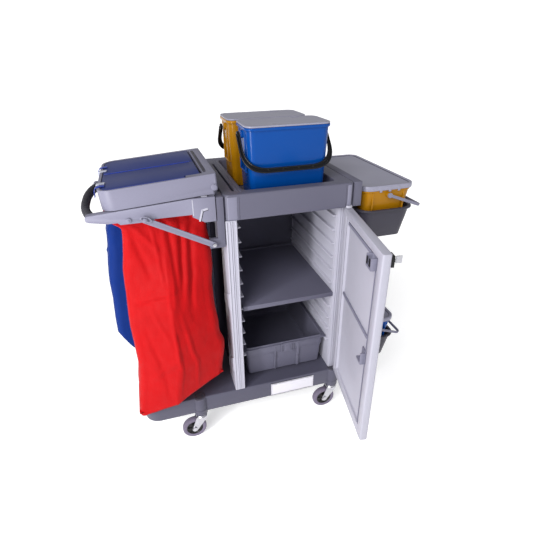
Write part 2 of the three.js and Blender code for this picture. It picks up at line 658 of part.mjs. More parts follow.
// A bail is a flat U, swept in the plane of its two pivots and then turned down to rest on the bucket.
// Its ends turn on round pads that stand proud of the bucket.
// Its path is drawn with the pivots on the x axis, and the loop reaches out along -z.
function bail(halfSpan, reach, corner, width, thickness) {
  const path = new THREE.CurvePath();
  const v = (x, z) => new THREE.Vector3(x, 0, z);
  path.add(new THREE.LineCurve3(v(-halfSpan, 0), v(-halfSpan, corner - reach)));
  path.add(new THREE.QuadraticBezierCurve3(v(-halfSpan, corner - reach), v(-halfSpan, -reach),
    v(corner - halfSpan, -reach)));
  path.add(new THREE.LineCurve3(v(corner - halfSpan, -reach), v(halfSpan - corner, -reach)));
  path.add(new THREE.QuadraticBezierCurve3(v(halfSpan - corner, -reach), v(halfSpan, -reach),
    v(halfSpan, corner - reach)));
  path.add(new THREE.LineCurve3(v(halfSpan, corner - reach), v(halfSpan, 0)));
  const section = rounded(-thickness / 2, thickness / 2, -width / 2, width / 2, 2);
  return join(
    sweep(path, section, 18),
    rod("y", -halfSpan, 0, width / 2, -thickness / 2, thickness / 2, 8),
    rod("y", halfSpan, 0, width / 2, -thickness / 2, thickness / 2, 8),
  );
}

function bucketShell() {
  const { width, depth, bottom, top, taper, wall, rim, pivotZ, padRadius, padDepth } = BUCKET;
  const box = [-width / 2 + rim, width / 2 - rim, -depth / 2 + rim, depth / 2 - rim];
  const shell = tub(box, bottom, top, taper, 26, wall);
  const lip = prism(rounded(...shrunk(box, -rim), 31), "z", top - 9, top);
  const inside = prism(rounded(...shrunk(box, wall), 23), "z", top - 12, top + 1);
  const face = width / 2 + 0.5;
  const pads = [[-face, padDepth - face], [face - padDepth, face]].map(([x0, x1]) =>
    rod("x", 0, pivotZ, padRadius, x0, x1, 8));
  const hollow = frustum(shrunk(box, wall), bottom + wall, top + 1, taper, 23);
  return join(shell, lip.subtract(inside), ...pads).subtract(hollow);
}

function bucketLid() {
  const { width, depth, top } = BUCKET;
  const box = [-width / 2 + 1, width / 2 - 1, -depth / 2 + 1, depth / 2 - 1];
  const plate = prism(rounded(...box, 30), "z", top + TOUCH, top + 5);
  return plate.add(prism(rounded(...shrunk(box, 12), 20), "z", top + 4, top + 7));
}

function bucketBail(forward) {
  const { width, pivotZ, bailReach, bailAngle, bailWidth, bailThickness } = BUCKET;
  const halfSpan = width / 2 + 1.5 + bailWidth / 2;
  const loop = bail(halfSpan, bailReach, 80, bailWidth, bailThickness);
  const lean = forward ? 90 - bailAngle : bailAngle - 90;
  return loop.rotate([-lean, 0, 0]).translate([0, 0, pivotZ]);
}

function bucket(colour, forward) {
  const made = group(
    part(colour + "_bucket", bucketShell(), colour),
    part(colour + "_bucket_lid", bucketLid(), "lid_grey"),
    part(colour + "_bucket_bail", bucketBail(forward), "black"),
  );
  made.position.set(BUCKET_PLACES[colour].x, BUCKET_PLACES[colour].y, 0);
  return made;
}

// ---------------------------------------------------------------- side units

// A box rail on the cabinet's side, with a web and a bearer that the side tray stands on.
function sideRail() {
  const s = SIDE;
  const left = WIDTH + TOUCH;
  const rail = block(left, s.railRight, 8, 533, 957, 1046);
  const hollow = block(left + 5, s.railRight - 5, 13, 528, 956, 1040);
  const web = block(left, left + 5, 60, 470, s.trayBottom - 12, 1000);
  const bearer = block(left, 680, 60, 470, s.trayBottom - 12, s.trayBottom - 6);
  const window = block(500, 640, 110, 420, s.trayBottom - 13, s.trayBottom - 5);
  return join(rail.subtract(hollow), web, bearer.subtract(window));
}

function sideTray() {
  const s = SIDE;
  const rim = [s.trayLeft, s.trayRight, 0, s.trayBack];
  const body = shrunk(rim, 10);
  const bottom = s.trayBottom - 6 + TOUCH;
  const shell = tub(body, bottom, s.trayTop, s.trayTaper - 10, 44, 4);
  const flange = prism(rounded(...rim, 54), "z", s.trayTop - 6, s.trayTop);
  const inside = prism(rounded(...shrunk(body, 4), 40), "z", s.trayTop - 8, s.trayTop + 1);
  return shell.add(flange.subtract(inside));
}

function sideBucket() {
  const s = SIDE;
  const box = [s.bucketLeft, s.bucketRight, s.bucketFront, s.bucketBack];
  let body = tub(box, s.bucketBottom, s.bucketTop, s.bucketTaper, 34, 3);
  const reach = s.lidOverhang + 0.5;
  const ends = [[s.bucketFront - reach, s.bucketFront + 12], [s.bucketBack - 12, s.bucketBack + reach]];
  for (const [y0, y1] of ends) body = body.add(rod("y", s.bailX, s.bailZ, s.padRadius, y0, y1, 8));
  const hollow = frustum(shrunk(box, 3), s.bucketBottom + 3, s.bucketTop + 1, s.bucketTaper, 31);
  return body.subtract(hollow);
}

function sideLid() {
  const s = SIDE;
  const over = s.lidOverhang;
  const box = [s.bucketLeft - over, s.bucketRight + 2 * over, s.bucketFront - over, s.bucketBack + over];
  const plate = prism(rounded(...box, 40), "z", s.bucketTop + TOUCH, s.lidTop);
  const under = prism(rounded(...shrunk(box, 5), 36), "z", s.bucketTop - 1, s.lidTop - 4);
  const ridge = prism(rounded(...shrunk(box, 12), 30), "z", s.lidTop - 5, s.lidTop - 2);
  const recess = prism(rounded(...shrunk(box, 14), 28), "z", s.lidTop - 2, s.lidTop + 1);
  return plate.subtract(under).add(ridge).subtract(recess);
}

// The bail's pivots are on the bucket's two ends, and its bar lies along y, lowered to the outer side.
function sideBail() {
  const s = SIDE;
  const halfSpan = (s.bucketBack - s.bucketFront) / 2 + s.lidOverhang + 1.2 + s.bailWidth / 2;
  const middle = (s.bucketBack + s.bucketFront) / 2;
  const loop = bail(halfSpan, s.bailReach, 30, s.bailWidth, s.bailThickness);
  return loop.rotate([0, 0, 90]).rotate([0, -(90 - s.bailDrop), 0]).translate([s.bailX, middle, s.bailZ]);
}

function sideUnit(place, colour, drop) {
  const made = group(
    part(place + "_side_rail", sideRail(), "cart_grey"),
    part(place + "_side_tray", sideTray(), "dark_grey"),
    part(place + "_side_bucket", sideBucket(), colour),
    part(place + "_side_lid", sideLid(), "lid_grey"),
    part(place + "_side_bail", sideBail(), "light_grey"),
  );
  made.position.z = -drop;
  return made;
}

// ---------------------------------------------------------------- assembly

const cart = group(
  part("base_platform", basePlatform(), "cart_grey"),
  casters(),
  part("left_side_panel", leftSidePanel(), "white_panel"),
  part("right_side_panel", rightSidePanel(), "white_panel"),
  part("back_panel", backPanel(), "cart_grey"),
  part("top_tray", topTray(), "cart_grey"),
  part("shelf", shelf(), "cart_grey"),
  part("drawer", drawer(), "cart_grey"),
  door(),
  bagHolder(),
  bucket("blue", true),
  bucket("yellow", false),
  sideUnit("upper", "yellow", 0),
  sideUnit("lower", "blue", SIDE.lowerBy),
);

const extent = new THREE.Box3().setFromObject(cart, true);
cart.position.set(-(extent.min.x + extent.max.x) / 2, -(extent.min.y + extent.max.y) / 2, -extent.min.z);

export default group(cart);
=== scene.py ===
import json
from math import cos, exp, hypot, pi, radians, sin
import bmesh
import bpy
from mathutils import Matrix, Vector, noise


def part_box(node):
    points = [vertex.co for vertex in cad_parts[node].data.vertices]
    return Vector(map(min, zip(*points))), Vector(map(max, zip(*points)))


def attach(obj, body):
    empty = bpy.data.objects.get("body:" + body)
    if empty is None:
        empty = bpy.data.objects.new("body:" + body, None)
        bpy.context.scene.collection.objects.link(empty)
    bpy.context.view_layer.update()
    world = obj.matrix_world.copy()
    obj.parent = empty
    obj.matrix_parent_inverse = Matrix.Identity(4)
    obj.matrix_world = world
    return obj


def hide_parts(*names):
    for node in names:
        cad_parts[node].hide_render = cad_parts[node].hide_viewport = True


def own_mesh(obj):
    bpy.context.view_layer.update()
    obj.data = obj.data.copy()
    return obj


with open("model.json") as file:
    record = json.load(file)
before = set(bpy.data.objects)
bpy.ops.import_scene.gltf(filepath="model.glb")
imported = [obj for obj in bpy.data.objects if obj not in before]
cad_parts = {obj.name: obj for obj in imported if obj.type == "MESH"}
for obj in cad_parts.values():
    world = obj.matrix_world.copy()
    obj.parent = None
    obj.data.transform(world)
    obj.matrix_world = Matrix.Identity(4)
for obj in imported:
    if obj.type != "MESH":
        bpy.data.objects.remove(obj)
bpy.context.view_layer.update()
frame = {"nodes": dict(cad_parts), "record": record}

# Lengths below are millimetres in the cart's own frame: x from a plane 20 mm inside the cabinet's left side,
# y from its front and z from the floor. at() turns them into metres in the row frame.
LEFT, RIGHT, DEPTH = -20, 450, 537  # the cabinet
PANEL_LOW, PANEL_TOP = 216, 955  # the strips and beads on its walls
TRAY_EDGE, TRAY_TOP = 1039, 1047
HINGE = (432, 0, 0)  # the door's hinge line
DOOR_ANGLE = 79.75  # how far the door stands open at rest
WHEEL_RADIUS, TRAIL = 50, 34
CASTER_X = {"left": -167, "right": 420}
CASTER_Y = {"front": 16, "rear": 521}
TOP_PIVOT = 1212  # height of the top buckets' bail pivots
SIDE_TRAY_TOP, SIDE_PIVOT, SIDE_MIDDLE = 930, 983, (598, 260)  # of the upper side unit
HOLDER_DEPTH = 400
PIN = (-46, 0, 1079)  # the lid frame's hinge pin
LID_TILT = 4.2
RIM = {"left": -396, "right": -76, "front": 26.3, "back": 373.7, "bottom": 998}  # the hoop for the bags
CORNER = Vector((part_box("top_tray")[0].x - LEFT / 1000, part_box("back_panel")[1].y - DEPTH / 1000, 0))

SHARP = radians(38)  # edges that turn more than this are shaded as sharp
BEVELLED = radians(32)  # and those that turn more than this are rounded
WELD, FLAT = 1e-5, radians(0.6)  # for merging points, and for merging flat faces


def at(x, y, z):
    return CORNER + Vector((x, y, z)) / 1000


def extent(node):
    """A CAD node's box in the cart's own frame: x0, x1, y0, y1, z0, z1."""
    low, high = ((Vector(c) - CORNER) * 1000 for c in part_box(node))
    return low.x, high.x, low.y, high.y, low.z, high.z


# -------- materials


def linear(rgb):
    return [((c / 255 + 0.055) / 1.055) ** 2.4 if c > 10 else c / 255 / 12.92 for c in rgb]


def shade(color, k):
    return [min(1, c * k) for c in color[:3]] + [1]


class Finish:
    """A material under construction: its tree, its shader, and the texture nodes that it is built from."""

    def __init__(self, name, roughness, metallic=0.0):
        self.material = bpy.data.materials.new(name)
        self.material.use_nodes = True
        self.tree = self.material.node_tree
        self.shader = self.tree.nodes["Principled BSDF"]
        self.shader.inputs["Roughness"].default_value = roughness
        self.shader.inputs["Metallic"].default_value = metallic
        self.place = self.node("ShaderNodeTexCoord").outputs["Object"]

    def node(self, kind, **values):
        made = self.tree.nodes.new(kind)
        for key, value in values.items():
            setattr(made, key, value)
        return made

    def link(self, source, target):
        self.tree.links.new(source, target)

    def stretched(self, scale):
        mapping = self.node("ShaderNodeMapping")
        mapping.inputs["Scale"].default_value = scale
        self.link(self.place, mapping.inputs["Vector"])
        return mapping.outputs["Vector"]

    def noise(self, scale, detail=3.0, roughness=0.55, stretch=None):
        made = self.node("ShaderNodeTexNoise")
        made.inputs["Scale"].default_value = scale
        made.inputs["Detail"].default_value = detail
        made.inputs["Roughness"].default_value = roughness
        self.link(self.stretched(stretch) if stretch else self.place, made.inputs["Vector"])
        return made.outputs["Fac"]

    def wave(self, direction, scale):
        made = self.node("ShaderNodeTexWave", bands_direction=direction)
        made.inputs["Scale"].default_value = scale
        made.inputs["Distortion"].default_value = 0.6
        self.link(self.place, made.inputs["Vector"])
        return made.outputs["Fac"]

    def spread(self, value, low, high, to_low=0.0, to_high=1.0):
        made = self.node("ShaderNodeMapRange")
        for key, number in zip(("From Min", "From Max", "To Min", "To Max"), (low, high, to_low, to_high)):
            made.inputs[key].default_value = number
        self.link(value, made.inputs["Value"])
        return made.outputs["Result"]

    def times(self, a, b, operation="MULTIPLY"):
        made = self.node("ShaderNodeMath", operation=operation)
        self.link(a, made.inputs[0])
        if isinstance(b, float):
            made.inputs[1].default_value = b
        else:
            self.link(b, made.inputs[1])
        return made.outputs[0]

    def mix(self, share, a, b):
        made = self.node("ShaderNodeMix", data_type="RGBA")
        self.link(share, made.inputs["Factor"])
        for value, target in ((a, made.inputs["A"]), (b, made.inputs["B"])):
            if isinstance(value, list):
                target.default_value = value
            else:
                self.link(value, target)
        return made.outputs["Result"]

    def bump(self, height, strength, distance):
        made = self.node("ShaderNodeBump")
        made.inputs["Strength"].default_value = strength
        made.inputs["Distance"].default_value = distance
        self.link(height, made.inputs["Height"])
        last = self.shader.inputs["Normal"]
        if last.links:
            self.link(last.links[0].from_socket, made.inputs["Normal"])
        self.link(made.outputs["Normal"], last)

    def color(self, value):
        self.link(value, self.shader.inputs["Base Color"])

    def rough(self, scale, low, high, detail=4):
        """Roughness that varies in patches."""
        patches = self.spread(self.noise(scale, detail), 0.3, 0.7, low, high)
        self.link(patches, self.shader.inputs["Roughness"])

    def set(self, **values):
        for key, value in values.items():
            self.shader.inputs[key.replace("_", " ")].default_value = value


def plastic(name, rgb, roughness, grain=0.3, coat=0.0, wear=0.25, mottle=0.03, smooth_skin=False, gloss=0.25):
    """Moulded plastic: clouded colour, fine spark-eroded grain, rubbed edges and light scuffs.

    Like the other finishes, it returns its name and its material."""
    f = Finish(name, roughness)
    base = linear(rgb)
    cloudy = f.mix(f.spread(f.noise(7), 0.3, 0.7), shade(base, 1 - mottle), shade(base, 1 + mottle))
    speck = 0.015 if smooth_skin else 0.035
    fine = f.mix(f.spread(f.noise(420, 2), 0.35, 0.65), shade(base, 1 - speck), shade(base, 1 + speck))
    body = f.mix(f.spread(f.noise(60, 2), 0.3, 0.7, 0.25, 0.6), cloudy, fine)
    streaks = f.spread(f.noise(30, 5, 0.7, (1, 1, 7)), 0.66, 0.76)
    pale = shade([c * 0.7 + 0.2 for c in base], 1)
    scuffed = f.mix(f.times(streaks, 0.02 if smooth_skin else 0.08), body, pale)
    rub = f.node("ShaderNodeAttribute", attribute_name="wear").outputs["Fac"]
    patchy = f.times(rub, f.spread(f.noise(90, 4), 0.35, 0.65, 0.15, 1))
    light = shade([c * 0.8 + 0.12 for c in base], 1)
    f.color(f.mix(f.times(patchy, wear), scuffed, light))
    scale, detail = (6, 1) if smooth_skin else (24, 4)
    f.rough(scale, roughness - 0.03, roughness + 0.05, detail)
    f.bump(f.noise(9, 1), 0.08, 0.003)
    if grain > 0.01:
        f.bump(f.noise(1500, 1), grain, 0.0002)
    f.set(Coat_Weight=coat, Coat_Roughness=0.1, Specular_IOR_Level=gloss)
    return name, f.material


def cloth(name, rgb):
    """Closely woven coated cloth: two crossing sets of threads, soft clouding and crease dust."""
    f = Finish(name, 0.62)
    base = linear(rgb)
    thread = 0.0011
    scale = 0.314 / thread
    weave = f.times(f.wave("Z", scale), f.times(f.wave("X", scale), f.wave("Y", scale), "MAXIMUM"), "ADD")
    cloudy = f.mix(f.spread(f.noise(9), 0.3, 0.7), shade(base, 0.92), shade(base, 1.06))
    threads = f.mix(f.spread(weave, 0.2, 1.6, 0, 0.4), cloudy, shade(base, 0.76))
    f.color(f.mix(f.spread(f.noise(45, 5, 0.7), 0.55, 0.8, 0, 0.2), threads, shade(base, 1.15)))
    f.rough(30, 0.52, 0.72)
    f.bump(f.noise(55, 3, 0.6, (1, 1, 0.45)), 0.35, 0.003)
    f.bump(weave, 0.35, 0.0003)
    f.set(Sheen_Weight=0.03, Sheen_Roughness=0.45, Specular_IOR_Level=0.1)
    return name, f.material


def rubber(name, rgb, roughness):
    """Matte rubber with dust in its pores and fine rubbed streaks."""
    f = Finish(name, roughness)
    base = linear(rgb)
    cloudy = f.mix(f.spread(f.noise(14, 4), 0.3, 0.7), shade(base, 0.85), shade(base, 1.12))
    dust = f.spread(f.noise(160, 5, 0.7), 0.52, 0.72, 0, 0.35)
    f.color(f.mix(dust, cloudy, shade([c * 0.6 + 0.16 for c in base], 1)))
    f.rough(70, roughness - 0.1, roughness + 0.08)
    f.bump(f.noise(700, 2), 0.4, 0.0003)
    return name, f.material


def zinc(name, rgb, roughness):
    """Bright zinc plate: brushed, slightly cloudy, duller where it is touched."""
    f = Finish(name, roughness, 1.0)
    base = linear(rgb)
    brushed = f.noise(120, 4, 0.7, (1, 1, 9))
    f.color(f.mix(f.spread(brushed, 0.3, 0.7), shade(base, 0.82), shade(base, 1.08)))
    f.rough(50, roughness - 0.08, roughness + 0.16)
    f.bump(brushed, 0.15, 0.0002)
    return name, f.material


SATIN = {"coat": 0.06, "grain": 0.03, "gloss": 0.14, "smooth_skin": True}
MATERIALS = dict([
    plastic("cart_grey", (92, 91, 107), 0.44),
    plastic("light_grey", (120, 119, 137), 0.42),
    plastic("white_panel", (170, 169, 182), 0.42, grain=0.2, mottle=0.02),
    plastic("dark_grey", (58, 56, 67), 0.42),
    # lid_grey: a pale grey that paints the glossy lids' reflection of white light into their colour.
    plastic("lid_grey", (138, 137, 154), 0.3, grain=0.01, coat=0.12, wear=0.12, smooth_skin=True),
    plastic("blue", (2, 64, 138), 0.22, wear=0.05, **SATIN),
    plastic("flap_blue", (32, 46, 106), 0.4, grain=0.15, coat=0.05, wear=0.06, smooth_skin=True),
    plastic("yellow", (160, 110, 10), 0.24, wear=0.08, **SATIN),
    plastic("black", (6, 6, 9), 0.32, grain=0.02, wear=0.02, smooth_skin=True, gloss=0.35),
    rubber("grip_rubber", (40, 38, 47), 0.72),
    cloth("red_cloth", (170, 7, 12)),
    cloth("blue_cloth", (6, 42, 114)),
    zinc("zinc", (196, 196, 202), 0.26),
    rubber("tyre", (100, 92, 112), 0.66),
    plastic("base_grey", (76, 75, 90), 0.44),
    plastic("piping", (14, 48, 150), 0.3, grain=0.1, coat=0.1, smooth_skin=True),
    plastic("blank_plate", (206, 204, 212), 0.35, grain=0.1, mottle=0.02),
    plastic("clear_clip", (176, 178, 192), 0.25, grain=0.1, coat=0.3),
    # Black for painted shade and shadow: under the wall's runners, round the holder's lever, and in the slots
    # of the tray and of the door's clips.
    plastic("painted_shade_black", (10, 10, 12), 0.6, wear=0.05),
    # wall_shade: the painted shade on the cabinet's left wall beside the bags.
    plastic("wall_shade", (48, 45, 56), 0.6, wear=0.02, gloss=0.0),
])


# -------- meshes

# A mesh under construction is a pair: its points, in the cart's own frame, and its faces.


def joined(*meshes):
    points, faces = [], []
    for p, f in meshes:
        start = len(points)
        points += p
        faces += [tuple(i + start for i in face) for face in f]
    return points, faces


def moved(mesh, x=0.0, y=0.0, z=0.0):
    return [(p[0] + x, p[1] + y, p[2] + z) for p in mesh[0]], mesh[1]


def turned(mesh, centre, axis, degrees):
    spin = Matrix.Rotation(radians(degrees), 3, axis)
    c = Vector(centre)
    return [tuple(c + spin @ (Vector(p) - c)) for p in mesh[0]], mesh[1]


def mirrored(mesh):
    """The same mesh at the holder's other end."""
    return [(x, HOLDER_DEPTH - y, z) for x, y, z in mesh[0]], [f[::-1] for f in mesh[1]]


def swapped(mesh, order):
    """A mesh whose x, y and z are taken from the coordinates that order names."""
    return [tuple(p[i] for i in order) for p in mesh[0]], mesh[1]


def ring(box, radius, z, steps=7):
    """A level outline with round corners. radius is one number, or one for each corner."""
    x0, x1, y0, y1 = box
    radii = radius if isinstance(radius, tuple) else (radius,) * 4
    centres = [(x1, y0, -1, 1, -90), (x1, y1, -1, -1, 0), (x0, y1, 1, -1, 90), (x0, y0, 1, 1, 180)]
    points = []
    for (cx, cy, sx, sy, start), r in zip(centres, radii):
        for i in range(steps + 1):
            a = radians(start + 90 * i / steps)
            points.append((cx + sx * r + r * cos(a), cy + sy * r + r * sin(a), z))
    return points


def loft(rings, closed=False, caps=True):
    """Skins a row of outlines with equal numbers of points. An open row gets a cap at each end, if wanted."""
    n = len(rings[0])
    points = [p for r in rings for p in r]
    faces = []
    for i in range(len(rings) if closed else len(rings) - 1):
        a, b = i * n, (i + 1) % len(rings) * n
        faces += [(a + j, a + (j + 1) % n, b + (j + 1) % n, b + j) for j in range(n)]
    if caps and not closed:
        faces += [tuple(reversed(range(n))), tuple(range(len(points) - n, len(points)))]
    return points, faces


def inset(box, by):
    return box[0] + by, box[1] - by, box[2] + by, box[3] - by


def vessel(box, profile, steps=7):
    """A moulding made of level outlines, each given as its inset from box, height and corner radius."""
    return loft([ring(inset(box, i), r, z, steps) for i, z, r in profile])


def slab(x0, x1, y0, y1, z0, z1, edge=1.5, corner=None):
    """A plate with rounded edges. The two ends of its x, or of its y, may come in either order."""
    corner = corner or edge
    profile = []
    for k in range(4):
        a = radians(90 * k / 3)
        back = edge * (1 - sin(a))
        profile.append((back, z0 + edge * (1 - cos(a)), max(0.2, corner - back)))
    profile += [(i, z0 + z1 - z, r) for i, z, r in reversed(profile)]
    return vessel((*sorted((x0, x1)), *sorted((y0, y1))), profile, 4)


def turns(count):
    """The angles of count equal steps round a circle."""
    return [2 * pi * i / count for i in range(count)]


def circle(radius, count=20):
    return [(radius * cos(t), radius * sin(t)) for t in turns(count)]


def oblong(width, height, radius):
    return [(x, y) for x, y, _ in ring((-width / 2, width / 2, -height / 2, height / 2), radius, 0, 4)]


def swept(path, section, reference, closed=False):
    """A section carried along a path. Its first coordinate lies across reference, and its second along it."""
    path = [Vector(p) for p in path]
    count = len(path)
    rings = []
    for i, p in enumerate(path):
        before = path[i - 1] if i or closed else p
        after = path[(i + 1) % count] if i < count - 1 or closed else p
        along = (after - before).normalized()
        side = along.cross(Vector(reference)).normalized()
        up = side.cross(along)
        rings.append([tuple(p + side * a + up * b) for a, b in section])
    return loft(rings, closed)


def rounded_path(points, corner, steps=10):
    """A polyline whose inner corners are replaced by smooth bends that start corner before each."""
    points = [Vector(p) for p in points]
    path = [points[0]]
    for before, p, after in zip(points, points[1:], points[2:]):
        a = p + (before - p).normalized() * corner
        b = p + (after - p).normalized() * corner
        for i in range(steps + 1):
            t = i / steps
            path.append(a.lerp(p, t).lerp(p.lerp(b, t), t))
    return path + [points[-1]]


def lathe(profile, centre, axis="Y", count=40):
    """A body of revolution from pairs of radius and distance, which start and end on the axis or meet."""
    rings = [[(x, y, h) for x, y in circle(max(r, 0.01), count)] for r, h in profile]
    mesh = loft(rings, closed=profile[0][0] > 0)
    order = {"X": (2, 0, 1), "Y": (0, 2, 1), "Z": (0, 1, 2)}[axis]
    return moved(swapped(mesh, order), *centre)


def knob(radius, height, centre, axis="Y", edge=1.0, count=32):
    """A short round boss with a rounded rim, centred on its middle."""
    h = height / 2
    return lathe([(0, -h), (radius - edge, -h), (radius - edge * 0.3, -h + edge * 0.3), (radius, -h + edge),
                  (radius, h - edge), (radius - edge * 0.3, h - edge * 0.3), (radius - edge, h), (0, h)],
                 centre, axis, count)


def mark_wear(mesh):
    """Marks narrow faces along sharp turns, for the rubbed look of edges."""
    bm = bmesh.new()
    bm.from_mesh(mesh)
    values = []
    for face in bm.faces:
        narrow = 2 * face.calc_area() / max(1e-9, face.calc_perimeter()) < 0.0018
        turn = max((e.calc_face_angle(0) for e in face.edges if len(e.link_faces) == 2), default=0)
        values.append(min(1.0, turn / radians(40)) if narrow else 0.0)
    bm.free()
    mesh.attributes.new("wear", "FLOAT", "FACE").data.foreach_set("value", values)


def placed(name, data):
    """A new object in the scene."""
    made = bpy.data.objects.new(name, data)
    bpy.context.scene.collection.objects.link(made)
    return made


def mesh_data(name, mesh):
    """Blender's mesh, in metres, of a mesh under construction."""
    data = bpy.data.meshes.new(name)
    data.from_pydata([at(*p) for p in mesh[0]], [], mesh[1])
    return data


def cleaned(data, weld):
    """Merges points that lie within weld of each other and turns every face outwards."""
    bm = bmesh.new()
    bm.from_mesh(data)
    bmesh.ops.remove_doubles(bm, verts=bm.verts, dist=weld)
    bmesh.ops.recalc_face_normals(bm, faces=bm.faces)
    bm.to_mesh(data)
    bm.free()
    return data


def settle(piece):
    """Applies a piece's modifiers."""
    settled = bpy.data.meshes.new_from_object(piece.evaluated_get(bpy.context.evaluated_depsgraph_get()))
    piece.modifiers.clear()
    piece.data = settled


def show(name, mesh, finish, body, replaces=(), bevel=0.0, cutters=()):
    """Makes a finished piece from a mesh under construction and lets it ride on a body."""
    return dress(name, mesh_data(name, mesh), finish, body, replaces, bevel, cutters)


def dress(name, data, finish, body, replaces, bevel, cutters=()):
    piece = placed(name, cleaned(data, WELD))
    tools = [placed("cutter", mesh_data("cutter", mesh)) for mesh in cutters]
    for tool in tools:
        cut = piece.modifiers.new("cut", "BOOLEAN")
        cut.operation, cut.solver, cut.object = "DIFFERENCE", "EXACT", tool
    if bevel:
        rounding = piece.modifiers.new("rounding", "BEVEL")
        rounding.width, rounding.segments = bevel / 1000, 2
        rounding.limit_method, rounding.angle_limit = "ANGLE", BEVELLED
        rounding.use_clamp_overlap, rounding.loop_slide = True, False
    if piece.modifiers:
        settle(piece)
        piece.data.name = name
    for tool in tools:
        bpy.data.objects.remove(tool)
    piece.data.materials.clear()
    piece.data.materials.append(MATERIALS[finish])
    mark_wear(piece.data)
    piece.data.shade_smooth()
    piece.data.set_sharp_from_angle(angle=SHARP)
    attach(piece, body)
    if replaces:
        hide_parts(*replaces)
    return piece


def body_with(node):
    return next(b for b, nodes in frame["record"]["behaviour"]["bodies"].items() if node in nodes)


def refine(node, mesh, finish, **more):
    """Shows a finished mesh in a CAD node's place."""
    show(node + "_finished", mesh, finish, body_with(node), [node], **more)


def soften(**bevels):
    """Shows each named CAD node with its edges rounded by so many millimetres."""
    for node, bevel in bevels.items():
        softened(node, bevel)


def softened(node, bevel):
    """A CAD node's shape with its flat faces merged and its edges rounded, in that node's place."""
    data = frame["nodes"][node].data.copy()
    for attribute in [a for a in data.attributes if a.name == "custom_normal"]:
        data.attributes.remove(attribute)
    bm = bmesh.new()
    bm.from_mesh(data)
    bmesh.ops.remove_doubles(bm, verts=bm.verts, dist=WELD)
    bmesh.ops.dissolve_limit(bm, angle_limit=FLAT, verts=bm.verts, edges=bm.edges)
    bm.to_mesh(data)
    bm.free()
    slots = {s["node"]: s["material_slot"] for s in frame["record"]["subparts"]}
    return dress(node + "_finished", data, slots[node], body_with(node), (node,), bevel)


# -------- cabinet


def base():
    box = (-388, 450, 3, 534)
    radii = lambda by: (20 - by, 20 - by, 60 - by, 60 - by)
    profile = [(7, 206), (7, 137), (6, 136), (1.5, 136), (0.4, 136.6), (0, 138), (0, 207.5), (0.8, 210.4),
               (2.4, 212), (6, 212.2), (12, 212.2)]
    rings = [ring(inset(box, i), radii(i), z, 10) for i, z in profile]
    underside = ring(inset(box, 12), radii(12), 206, 10)
    refine("base_platform", loft([underside] + rings), "base_grey")
    ribs = [slab(x, x + 6, 8, 529, 146, 208, 1) for x in (-300, 10, 250)]
    show("base_ribs", joined(*ribs), "base_grey", "cart")
    profile = [(0, 122), (23, 122), (26, 122.6), (27, 124), (27, 209), (26, 211.4), (24, 212.3), (0, 212.3)]
    for side, x in CASTER_X.items():
        for end, y in CASTER_Y.items():
            boss = lathe(profile, (x, y, 0), "Z", 48)
            collar = lathe([(26, 146), (28.2, 147), (28.2, 151), (26, 152)], (x, y, 0), "Z", 48)
            show(f"{end}_{side}_caster_boss", joined(boss, collar), "base_grey", "cart")
            cap = lathe([(0, 211), (20, 211), (21.4, 213), (20, 214.2), (0, 214.4)], (x, y, 0), "Z", 48)
            show(f"{end}_{side}_caster_cap", cap, "dark_grey", "cart")
    plate, face = slab(135, 327, 1.4, 3.6, 137.5, 201.5, 0.7, 3), slab(139, 323, 1.0, 2, 141.5, 197.5, 0.4, 2)
    show("base_blank_plate", joined(plate, face), "blank_plate", "cart")


def cabinet():
    soften(left_side_panel=1.4, right_side_panel=1.2, back_panel=1.2, shelf=1.4)
    stile = ((-15.5, 4), (-3, 2.6), (3.5, 2.6), (16, 5))
    beads = [slab(x, x + w, -0.4, 4, PANEL_LOW, PANEL_TOP, 1.2) for x, w in stile]
    show("left_stile_beads", joined(*beads), "white_panel", "cart")
    # Dark sheets on the left wall and its rear column paint the shade that the bags cast on them.
    low, top = PANEL_LOW - 2, PANEL_TOP + 2
    bag_shadow_sheets = joined(slab(-6.6, -4.6, 118, 454, low, top, 0.8), slab(-18.4, -16.4, 456, 514, low, top, 0.8))
    show("left_wall_painted_shade", bag_shadow_sheets, "wall_shade", "cart")
    for name, low, high, rear_low, rear_high in (("upper", 607, 678, 580, 623), ("lower", 312, 381, 262, 306)):
        section = [(low, 4), (high, 4), (rear_high, 108), (rear_low, 108)]
        bracket = loft([[(x, y, z) for z, y in section] for x in (-20, -16)])
        show(f"left_stile_{name}_bracket", bracket, "white_panel", "cart", bevel=1.0)
    beads = [slab(401.6, 405, y, y + w, PANEL_LOW, PANEL_TOP, 1) for y, w in ((21, 5), (33, 3), (507, 4))]
    beads += [slab(x, x + 3, 18.4, 21, PANEL_LOW, PANEL_TOP, 0.8) for x in (408, 416)]
    show("right_wall_beads", joined(*beads), "white_panel", "cart")
    tops = [355.5 + 56.25 * i for i in range(11)]
    # Black strips under the front end of each runner paint the shadow that the runner casts on the wall.
    slots = [slab(402.6, 405, 62, 138, z - 13, z - 7.5, 0.6) for z in tops]
    show("right_wall_painted_runner_shadows", joined(*slots), "painted_shade_black", "cart")


